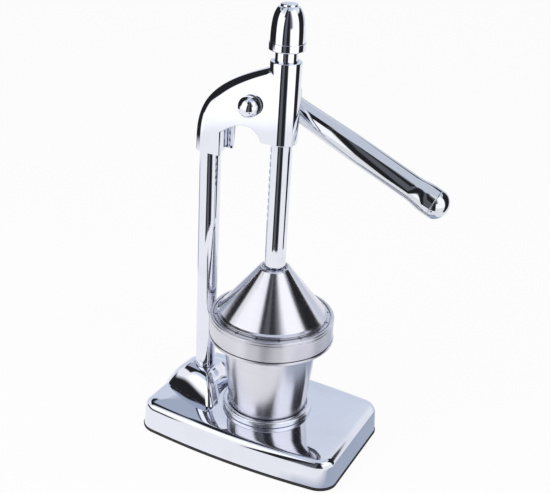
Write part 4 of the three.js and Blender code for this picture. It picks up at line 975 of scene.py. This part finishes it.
def make_lever():
    profile = [(0, ARM_START), (ARM_THIN, ARM_START)]
    profile += eased(ARM_THIN, ARM_FULL, ARM_SWELL) + eased(ARM_FULL, ARM_FLARED, ARM_FLARE)
    profile += [(ARM_FLARED, ARM_END, ARM_EDGE), (0, ARM_END)]
    half = SQUARE_HALF
    square = extruded([(-half, -half), (half, -half), (half, half), (-half, half)],
                      SQUARE_START, HUB_FAR + OVERRUN, "Z")
    lever = combined(
        "lever_forging", lowered(turned(profile, 128)),
        ("UNION", along_shaft(disc(HUB_RADIUS, HUB_NEAR, HUB_FAR, 144, HUB_EDGE))),
        ("UNION", along_shaft(disc(BOSS_RADIUS, BOSS_FACE, HUB_NEAR + HUB_EDGE, 96, BOSS_EDGE))),
        ("DIFFERENCE", along_shaft(square)),
        ("DIFFERENCE", along_shaft(disc(SHAFT_BORE, BOSS_FACE - OVERRUN, SQUARE_START))),
        ("DIFFERENCE", lowered(disc(CAP_SOCKET, CAP_SOCKET_START, ARM_END + OVERRUN))),
    )
    finished("lever_forging", lever, LEVER_SHADED_CHROME, "lever", "lever_arm", slot="chrome_plate")

    seat = ARM_END + SEAT_GAP
    cap = [(0, CAP_PLUG_START), (CAP_PLUG, CAP_PLUG_START, 0.5), (CAP_PLUG, seat),
           (ARM_FLARED, seat, ARM_EDGE), (ARM_FLARED, CAP_ROUND_START)]
    cap += quarter_round(ARM_FLARED, CAP_ROUND_START, LEVER_LENGTH - CAP_ROUND_START)
    cap.append((0, LEVER_LENGTH))
    finished("lever_end", lowered(turned(cap, 128)), LEVER_SHADED_CHROME, "lever", "lever_end_cap",
             slot="chrome_plate")

    start = HUB_FAR + SEAT_GAP
    end = start + HUB_WASHER_THICKNESS
    finished("lever_hub_washer", along_shaft(washer(SCREW_CLEARANCE, HUB_WASHER_RADIUS, start, end)),
             FASTENER_STEEL, "lever", "lever_washer", slot="fastener_steel")
    seat = end + SEAT_GAP
    tip = seat - HUB_SCREW_LENGTH
    top = seat + HUB_SCREW_HEAD
    screw = [(0, tip), (SCREW_RADIUS, tip, 0.4), (SCREW_RADIUS, seat), (SCREW_HEAD_RADIUS, seat, 0.3),
             (SCREW_HEAD_RADIUS, top - 1.4), (4.9, top - 0.4), (3.9, top), (0, top)]
    key = hexagon(SCREW_HEX, top - HUB_SCREW_HEX_DEPTH, top + OVERRUN)
    head = combined("lever_hub_screw", along_shaft(turned(screw, 96)), ("DIFFERENCE", along_shaft(key)))
    finished("lever_hub_screw", head, FASTENER_STEEL, "lever", "lever_screw", slot="fastener_steel")


# Rack rod and knob
ROD_RADIUS = 9
ROD_BOTTOM = 166.4
ROD_TOP = 356.5
ROD_EDGE = 0.8
ROD_SCREW_END = 182.1
STUD_HOLE_BOTTOM = 342.5
STUD_HOLE_TOP = 371.1
# Rack teeth of module 2, which mesh with the pinion where their pitch line meets its pitch circle
TOOTH_PITCH = 2 * math.pi
TOOTH_SLOPE = math.tan(math.radians(20))
TOOTH_PLAY = 0.1
PITCH_LINE_X = SHAFT.x + 16
GAP_FLOOR_X = -4.5
GAP_TOOL_X = -11
TOOTH_GAPS = 18
GAPS_BELOW_SHAFT = 15
KNOB_SKIRT = 14.4
KNOB_BOTTOM = 348.8
KNOB_STEP = 355.2
KNOB_RADIUS = 13.7
KNOB_TAPER = 5.1
KNOB_RISE = 26.6
KNOB_SOCKET = 9.3
KNOB_TOP = 385


def gap_half_width(x):
    """Half of a tooth gap's width at a place across the rod."""
    return TOOTH_PITCH / 4 + TOOTH_PLAY + (PITCH_LINE_X - x) * TOOTH_SLOPE


def make_rod():
    wide, narrow = gap_half_width(GAP_TOOL_X), gap_half_width(GAP_FLOOR_X)
    outline = [(GAP_TOOL_X, -wide), (GAP_FLOOR_X, -narrow), (GAP_FLOOR_X, narrow), (GAP_TOOL_X, wide)]
    gap = extruded(outline, -2 * ROD_RADIUS, 2 * ROD_RADIUS)
    lowest = moved(gap, z=SHAFT.z - GAPS_BELOW_SHAFT * TOOTH_PITCH)
    gaps = repeated(lowest, TOOTH_ROW, Count=TOOTH_GAPS, Spacing=TOOTH_PITCH * MM, Finish=ROD_CHROME)
    rod = combined("rack_bar", disc(ROD_RADIUS, ROD_BOTTOM, ROD_TOP, 160, ROD_EDGE),
                   ("DIFFERENCE", gaps),
                   ("DIFFERENCE", disc(THREAD_BORE, STUD_HOLE_BOTTOM, ROD_TOP + OVERRUN)),
                   ("DIFFERENCE", disc(SCREW_CLEARANCE, ROD_BOTTOM - OVERRUN, ROD_SCREW_END + SEAT_GAP)))
    finished("rack_bar", rod, ROD_CHROME, "rod", "rack_rod", slot="chrome_plate")


def make_knob(steps=40):
    profile = [(KNOB_SOCKET, KNOB_BOTTOM, 0.4), (KNOB_SKIRT, KNOB_BOTTOM, 1.2),
               (KNOB_SKIRT, KNOB_STEP, 0.35)]
    for i in range(steps + 1):
        share = i / steps
        taper = KNOB_TAPER * (share ** 2 + share ** 6) / 2
        profile.append((KNOB_RADIUS - taper, KNOB_STEP + KNOB_RISE * share))
    seat = ROD_TOP + SEAT_GAP
    profile += [(6.8, 382.4, 0.4), (6.8, 384.2, 1.0), (3.4, 384.8, 2.0), (0, KNOB_TOP),
                (0, STUD_HOLE_TOP), (THREAD_BORE, STUD_HOLE_TOP), (THREAD_BORE, seat), (KNOB_SOCKET, seat)]
    finished("knob_turning", turned(profile, 144), KNOB_CHROME, "rod", "knob", slot="chrome_plate")


# Press bell and what holds it, from the rod's end down
BELL_SHEET = 1.2
BELL_CROWN = 162
BELL_LIP = (120.25, 122.7)
BELL_LIP_RADII = (46.1, 47.3)
BELL_CONE_FOOT = 124
SPACER_RADIUS = 7.6
SPACER_EDGE = 0.5
BELL_WASHER_RADIUS = 8.5
BELL_WASHER_THICKNESS = 1.2
BELL_SCREW_HEAD = 4
BELL_SCREW_HEX_DEPTH = 2.2


def make_bell():
    inner, outer = BELL_LIP_RADII
    low, high = BELL_LIP
    inside = BELL_CROWN - BELL_SHEET
    bell = [(SCREW_CLEARANCE, inside), (14.64, inside, 1.2), (43.77, BELL_CONE_FOOT, 1.2),
            (inner, 121.9, 0.3), (inner, low, 0.2), (outer, low, 0.3), (outer, high, 0.5),
            (46.6, 123.1, 0.4), (45.3, BELL_CONE_FOOT, 1.5), (13.6, 164.05, 1.8), (12.3, 165.2, 1.0),
            (10.6, 165.2, 1.2), (10.6, BELL_CROWN, 0.8), (SCREW_CLEARANCE, BELL_CROWN)]
    finished("bell_spinning", turned(bell, 192, 8), BELL_STEEL, "bell", "press_bell", slot="satin_steel")

    spacer = washer(SCREW_CLEARANCE, SPACER_RADIUS, BELL_CROWN + SEAT_GAP, ROD_BOTTOM - SEAT_GAP, SPACER_EDGE)
    finished("rod_end_spacer", spacer, ROD_CHROME, "rod", "bell_spacer", slot="chrome_plate")

    top = inside - SEAT_GAP
    bottom = top - BELL_WASHER_THICKNESS
    finished("bell_screw_washer", washer(SCREW_CLEARANCE, BELL_WASHER_RADIUS, bottom, top), FASTENER_STEEL,
             "rod", "bell_washer", slot="fastener_steel")

    seat = bottom - SEAT_GAP
    foot = seat - BELL_SCREW_HEAD
    screw = [(0, foot), (4.2, foot, 0.8), (SCREW_HEAD_RADIUS, foot + 1.2, 0.8),
             (SCREW_HEAD_RADIUS, seat, 0.3), (SCREW_RADIUS, seat), (SCREW_RADIUS, ROD_SCREW_END, 0.4),
             (0, ROD_SCREW_END)]
    key = hexagon(SCREW_HEX, foot - OVERRUN, foot + BELL_SCREW_HEX_DEPTH)
    head = combined("bell_fixing_screw", turned(screw, 96), ("DIFFERENCE", key))
    finished("bell_fixing_screw", head, FASTENER_STEEL, "rod", "bell_screw", slot="fastener_steel")


# Strainer: dish and fluted reamer, pierced
REAMER_FOOT = (35, 108)
REAMER_TOP = (6, 148)
REAMER_STEPS = 20
FLUTES = 8
FLUTE_DEPTH = 1.6
STRAINER_SHEET = 0.9
HOLE_RADIUS = 1.1
HOLE_REACH = 2.9
RIM_HOLES = 16
REAMER_HOLES = 12
REAMER_ROWS = (0.14, 0.30)


def on_reamer(share):
    """A place on the reamer's cone, by its share of the way up."""
    return tuple(foot + (top - foot) * share for foot, top in zip(REAMER_FOOT, REAMER_TOP))


def reamer_fluted(body):
    foot_radius, foot_height = REAMER_FOOT
    rise = REAMER_TOP[1] - foot_height
    for vert in body.verts:
        x, y, z = vert.co / MM
        radius = math.hypot(x, y)
        climb = min(max((z - foot_height) / rise, 0), 1)
        if radius > foot_radius or climb == 0 or radius <= FLUTE_DEPTH:
            continue
        wave = FLUTE_DEPTH * math.sin(math.pi * math.sqrt(climb)) * math.cos(FLUTES * math.atan2(y, x))
        scale = (radius + wave) / radius
        vert.co.x *= scale
        vert.co.y *= scale
    return body


def make_strainer():
    cone = [on_reamer(i / REAMER_STEPS) for i in range(REAMER_STEPS + 1)]
    upper = [(49.75, 118.9, 0.2), (50.2, 119.35, 0.3), (49.75, 119.8, 0.3), (45.8, 119.8, 0.6), (44.9, 118.9),
             (43, 108.9, 0.6), (42.1, 108, 0.6)]
    tip = [(4.6, 149.3), (2.6, 150.15), (0, 150.4), (0, 149.5), (2.4, 149.25), (4.2, 148.4)]
    under = [(radius - STRAINER_SHEET, height - STRAINER_SHEET) for radius, height in reversed(cone)]
    lower = [(43, 107.1, 0.8), (43.9, 108, 0.8), (45.8, 118, 0.5), (46.7, 118.9, 0.5)]
    dish = reamer_fluted(turned(upper + cone + tip + under + lower, 240, 4))
    strainer = as_object("strainer_pressing", dish)

    slope = math.atan2(REAMER_TOP[1] - REAMER_FOOT[1], REAMER_FOOT[0] - REAMER_TOP[0])
    rows = [(RIM_HOLES, 48.3, 119.35, 0.5, 0), (RIM_HOLES, 39, 107.55, 0, 0)]
    rows += [(REAMER_HOLES, *on_reamer(share), 0.5, slope) for share in REAMER_ROWS]
    for count, radius, height, phase, tilt in rows:
        drill = spun(disc(HOLE_RADIUS, -HOLE_REACH, HOLE_REACH, 16), tilt, "Y")
        holes = repeated(drill, HOLE_CIRCLE, Count=count, Radius=radius * MM, Height=height * MM, Phase=phase,
                         Finish=BAND_STEEL)
        strainer = combined("strainer_pressing", strainer, ("DIFFERENCE", holes))
    finished("strainer_pressing", strainer, BAND_STEEL, "frame", "strainer", slot="satin_steel")


# Funnel and cup
CONE_EDGE = (37.8, 104.8)
CONE_NECK = (10.5, 89)
CONE_SHEET = 1
SPOUT_BORE = 9.2
SPOUT_RADIUS = 10.2
SPOUT_BOTTOM = 83
SPOUT_FLARE = 13.5
SPOUT_SHEET = 1
CUP_FOOT = 34
CUP_SHEET = 1
CUP_RIM = (41.6, 101.2)
CUP_BEAD = 1


def make_funnel():
    band = [(53.3, 99.4, 0.2), (54.3, 99.4, 0.4), (54.3, 100.9, 0.6), (53.7, 101.5, 0.2),
            (53.05, BAND_GROOVE_HEIGHT, 0.2), (53.6, 102.5, 0.3), (53.6, 117.05, 0.3), (52.9, 117.4, 0.25),
            (53.6, 118.1, 0.3), (53.6, 120.4, 1.3), (50.8, 120.4, 1.2), (50.8, 118.9, 0.2),
            (51.9, 118.9), (51.9, 117.4), (52.6, 115.7), (52.6, 103)]
    finished("funnel_outer_band", turned(band, 192, 8), BAND_STEEL, "frame", "funnel_band",
             slot="satin_steel")

    collar = [(51.6, 117.6, 0.2), (51.6, 118.6, 0.3), (48.4, 118.6, 0.8), (44.1, 103.5, 0.8),
              (39.1, 103.5, 0.3), (39.1, 102.5, 0.2), (45.1, 102.5, 1.2), (49.4, 117.6, 0.8)]
    finished("funnel_collar_ring", turned(collar, 160), CUP_STEEL, "frame", "funnel_collar",
             slot="satin_steel")

    cone = [(43.8, 103.8, 0.2), (43.8, 104.8, 0.3), (*CONE_EDGE, 1.2), (*CONE_NECK, 0.2),
            (CONE_NECK[0], CONE_NECK[1] - CONE_SHEET, 0.2), (CONE_EDGE[0], CONE_EDGE[1] - CONE_SHEET, 1.2)]
    finished("funnel_drip_cone", turned(cone, 160), CUP_STEEL, "frame", "funnel_cone", slot="satin_steel")

    slope = (CONE_EDGE[1] - CONE_NECK[1]) / (CONE_EDGE[0] - CONE_NECK[0])
    neck = CONE_NECK[1] + SEAT_GAP * math.sqrt(1 + slope * slope)
    flare = neck + slope * (SPOUT_FLARE - CONE_NECK[0])
    spout = [(SPOUT_BORE, SPOUT_BOTTOM, 0.3), (SPOUT_RADIUS, SPOUT_BOTTOM, 0.3),
             (SPOUT_RADIUS, neck - slope * (CONE_NECK[0] - SPOUT_RADIUS), 0.2), (SPOUT_FLARE, flare),
             (SPOUT_FLARE, flare + SPOUT_SHEET, 0.3), (SPOUT_BORE, neck + SPOUT_SHEET, 0.6)]
    finished("funnel_drip_spout", turned(spout, 96), CUP_STEEL, "frame", "funnel_spout", slot="satin_steel")


def make_cup():
    floor = PAN_SEAT + CUP_SHEET
    cup = [(0, PAN_SEAT), (CUP_FOOT, PAN_SEAT, 3), (41.5, 100.1, 0.4)]
    for degrees in range(-70, 111, 15):
        turn = math.radians(degrees)
        cup.append((CUP_RIM[0] + CUP_BEAD * math.cos(turn), CUP_RIM[1] + CUP_BEAD * math.sin(turn)))
    cup += [(40.6, 100.8, 0.3), (33.2, floor + 2, 2.4), (31.1, floor, 1.5), (0, floor)]
    finished("cup_spinning", turned(cup, 192, 8), CUP_STEEL, "frame", "cup", slot="satin_steel")


make_base()
make_post_dome()
make_post()
make_head()
make_shaft_fittings()
make_lever()
make_rod()
make_knob()
make_bell()
make_strainer()
make_funnel()
make_cup()

# CAD nodes that stay as they are
for name in ("stiffener_plate", "post_foot_plug", "post_bolt", "post_washer", "pinion", "pinion_shaft",
             "pinion_pin", "knob_stud"):
    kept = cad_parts[name]
    kept.data.materials.clear()
    kept.data.materials.append(FASTENER_STEEL)


# Floor, surroundings and lamps
FLOOR_REACH = 3000
FLOOR_HEIGHTS = (-20, -0.2)
FLOOR_GLOW = 0.93
# The world's glow for unseen rays, and what the seen ones get on top
WORLD_GLOW = 0.55
WORLD_SEEN_GLOW = 0.45
WORLD_WHITE = (1, 1, 1)
WORLD_DUSK = (0.70, 0.75, 0.84)
DUSK_WAY = (-0.43, 0.90, -0.35)
DUSK_BEHIND = (0.2, 0.7)
DUSK_OVERHEAD = (0.5, 0.85)


def seen_rays(tree):
    """1 for the rays that see the white studio: the camera's, mirrored ones and those through glass."""
    path = tree.nodes.new("ShaderNodeLightPath").outputs
    seen = maths(tree, "MAXIMUM", path["Is Camera Ray"], path["Is Glossy Ray"])
    return maths(tree, "MAXIMUM", seen, path["Is Transmission Ray"])


def glowing(name, colour, share_of, under, **values):
    """A material that lays a glow over another shader, by a share from the tree."""
    material = bpy.data.materials.new(name)
    material.use_nodes = True
    tree = material.node_tree
    tree.nodes.clear()
    base = node(tree, under, values)
    glow = node(tree, "ShaderNodeEmission", {"Color": (*colour, 1), "Strength": 1.0})
    links = {0: share_of(tree), 1: base.outputs[0], 2: glow.outputs[0]}
    mixed = node(tree, "ShaderNodeMixShader", links)
    out = tree.nodes.new("ShaderNodeOutputMaterial")
    tree.links.new(mixed.outputs[0], out.inputs["Surface"])
    return material


def make_floor():
    def share(tree):
        return maths(tree, "MULTIPLY", seen_rays(tree), FLOOR_GLOW)

    white = glowing("pale_floor", (1, 1, 1), share, "ShaderNodeBsdfDiffuse", Color=(0.9, 0.9, 0.9, 1))
    size = FLOOR_REACH
    slab = extruded([(-size, -size), (size, -size), (size, size), (-size, size)], *FLOOR_HEIGHTS, "Z")
    floor = as_object("studio_floor", slab)
    floor.data.materials.append(white)


def make_world():
    """A white studio; in mirrored rays it is dusky behind and overhead."""
    world = bpy.data.worlds.new("white_studio")
    bpy.context.scene.world = world
    world.use_nodes = True
    tree = world.node_tree
    back = tree.nodes["Background"]
    way = tree.nodes.new("ShaderNodeTexCoord").outputs["Generated"]
    behind = node(tree, "ShaderNodeVectorMath", {0: way, 1: DUSK_WAY}, operation="DOT_PRODUCT")
    height = node(tree, "ShaderNodeSeparateXYZ", {"Vector": way})
    dusk = maths(tree, "MAXIMUM", ramped(tree, behind.outputs["Value"], *DUSK_BEHIND, "SMOOTHSTEP"),
                 ramped(tree, height.outputs["Z"], *DUSK_OVERHEAD, "SMOOTHSTEP"))
    glossy = tree.nodes.new("ShaderNodeLightPath").outputs["Is Glossy Ray"]
    share = maths(tree, "MULTIPLY", dusk, glossy)
    tree.links.new(blended(tree, share, WORLD_WHITE, WORLD_DUSK), back.inputs["Color"])
    seen = maths(tree, "MULTIPLY", seen_rays(tree), WORLD_SEEN_GLOW)
    tree.links.new(maths(tree, "ADD", seen, WORLD_GLOW), back.inputs["Strength"])


# The photo's camera: turned and raised from the front, rolled about its view, its place in metres
CAMERA_TURN = math.radians(25.67)
CAMERA_RISE = math.radians(24.88)
CAMERA_ROLL = math.radians(3.21)
CAMERA_PLACE = Vector((0.32242, -0.67261, 0.52883))
CAMERA_SENSOR = 36
FOCAL_LENGTH_IN_PIXELS = 984.211
PHOTO_WIDTH_IN_PIXELS = 550


def make_camera():
    cos, sin = math.cos, math.sin
    level = cos(CAMERA_RISE)
    back = Vector((sin(CAMERA_TURN) * level, -cos(CAMERA_TURN) * level, sin(CAMERA_RISE)))
    right = (-back).cross(Vector((0, 0, 1))).normalized()
    up = right.cross(-back)
    across = cos(CAMERA_ROLL) * right + sin(CAMERA_ROLL) * up
    upwards = -sin(CAMERA_ROLL) * right + cos(CAMERA_ROLL) * up
    data = bpy.data.cameras.new("photo_camera")
    data.sensor_width = CAMERA_SENSOR
    data.lens = CAMERA_SENSOR * FOCAL_LENGTH_IN_PIXELS / PHOTO_WIDTH_IN_PIXELS
    camera = bpy.data.objects.new("photo_camera", data)
    bpy.context.scene.collection.objects.link(camera)
    camera.matrix_world = Matrix((*zip(across, upwards, back, CAMERA_PLACE), (0, 0, 0, 1)))
    bpy.context.scene.camera = camera


# Cards and patches: sheets of light or shade that only mirrored rays see
# A card fades towards its top and its foot over these shares of its radius
CARD_TOP_FADE = 0.1
CARD_FOOT_FADE = 0.05
CARD_COLUMNS = 40
CARD_ROWS = 24
PATCH_STEPS = 16
PATCH_HEIGHT = 0.2


def card_cover(tree):
    return node(tree, "ShaderNodeAttribute", attribute_name="cover").outputs["Fac"]


def card_material(name, colour):
    return glowing(name, colour, card_cover, "ShaderNodeBsdfTransparent")


CARD_BLACK = card_material("card_black", (0.02, 0.02, 0.022))
CARD_GREY = card_material("card_grey", (0.12, 0.125, 0.14))
CARD_WHITE = card_material("card_white", (1.3, 1.3, 1.3))
FLOOR_SHADE = card_material("floor_shade", (0.42, 0.47, 0.57))
FLOOR_STRIP = card_material("floor_strip", (0.2, 0.21, 0.24))


def mirrored_sheet(name, columns, rows, point_at, material):
    """A sheet from a function of two shares, which gives each point's place and its cover."""
    body = bmesh.new()
    cover = body.verts.layers.float.new("cover")
    grid = []
    for i in range(columns + 1):
        line = []
        for k in range(rows + 1):
            place, covers = point_at(i / columns, k / rows)
            vert = body.verts.new(Vector(place) * MM)
            vert[cover] = min(*covers, 1)
            line.append(vert)
        grid.append(line)
    for left, right in zip(grid, grid[1:]):
        for k in range(rows):
            body.faces.new((left[k], right[k], right[k + 1], left[k + 1]))
    sheet = as_object(name, body)
    sheet.data.materials.append(material)
    for ray in ("visible_camera", "visible_diffuse", "visible_shadow", "visible_transmission"):
        setattr(sheet, ray, False)


def make_card(name, foot_turns, head_turns, heights, radius, material, soft=3):
    """A curved card round the press: turns and soft edges in degrees from the camera's side, sizes in mm."""
    bottom, top = heights

    def point_at(across, climb):
        first, last = (foot + (head - foot) * climb for foot, head in zip(foot_turns, head_turns))
        turn = first + (last - first) * across
        height = bottom + (top - bottom) * climb
        covers = [(turn - first) / soft, (last - turn) / soft, (top - height) / (CARD_TOP_FADE * radius)]
        if bottom > 0:
            covers.append((height - bottom) / (CARD_FOOT_FADE * radius))
        angle = CAMERA_TURN + math.radians(turn)
        return (radius * math.sin(angle), -radius * math.cos(angle), height), covers

    mirrored_sheet(name, CARD_COLUMNS, CARD_ROWS, point_at, material)


def make_patch(name, low, high, soft, material):
    """A flat patch on the floor, from its low corner to its high one, in mm."""
    def point_at(across, along):
        x = low[0] + (high[0] - low[0]) * across
        y = low[1] + (high[1] - low[1]) * along
        edges = (x - low[0], high[0] - x, y - low[1], high[1] - y)
        return (x, y, PATCH_HEIGHT), [edge / soft for edge in edges]

    mirrored_sheet(name, PATCH_STEPS, PATCH_STEPS, point_at, material)


LAMP_AIM = Vector((0, 0, 0.14))


def make_lamp(name, place, size, power):
    """A square lamp aimed at the press, which mirrored rays don't see; place and size in metres."""
    data = bpy.data.lights.new(name, "AREA")
    data.size = size
    data.energy = power
    lamp = bpy.data.objects.new(name, data)
    bpy.context.scene.collection.objects.link(lamp)
    lamp.location = place
    lamp.rotation_euler = (LAMP_AIM - Vector(place)).to_track_quat("-Z", "Y").to_euler()
    lamp.visible_glossy = False


make_floor()
make_world()
make_camera()
make_card("card_front", (-42, 24), (-14, 5), (0, 900), 400, CARD_GREY)
make_card("card_front_left_edge", (-43, -28), (-15, -6), (0, 900), 396, CARD_BLACK, soft=2)
make_card("card_front_right_edge", (-10, 17), (-2, 6), (0, 900), 396, CARD_BLACK, soft=2)
make_card("card_front_high", (-36, -24), (-24, -4), (505, 1050), 385, CARD_BLACK)
make_card("card_front_soft", (-10, 38), (-6, 24), (350, 900), 398, CARD_GREY, soft=16)
make_card("card_post_edge", (-152, -117), (-152, -117), (100, 222), 150, FLOOR_SHADE)
make_card("card_right", (74, 92), (74, 150), (0, 600), 400, CARD_BLACK)
make_card("card_back_left", (-150, -91), (-160, -104), (178, 620), 300, CARD_BLACK)
make_card("card_near_left", (-134, -76), (-134, -76), (300, 520), 200, CARD_BLACK)
make_card("card_high_left", (-165, -72), (-165, -72), (680, 1500), 400, CARD_BLACK, soft=6)
make_card("card_far_left", (-114, -58), (-114, -58), (0, 620), 2000, CARD_BLACK)
make_card("card_white_left", (-90, -28), (-86, -12), (150, 640), 420, CARD_WHITE, soft=6)
make_card("card_white_right", (18, 76), (2, 76), (150, 900), 420, CARD_WHITE, soft=6)
make_patch("floor_shade", (40, -80), (200, 260), 20, FLOOR_SHADE)
make_patch("floor_strip", (30, -330), (125, -185), 14, FLOOR_STRIP)
make_lamp("soft_key", (-0.55, -0.87, 1.37), 0.9, 8)
make_lamp("soft_fill", (0.99, -0.41, 1.33), 0.6, 4)

bpy.context.scene.view_settings.view_transform = "Standard"
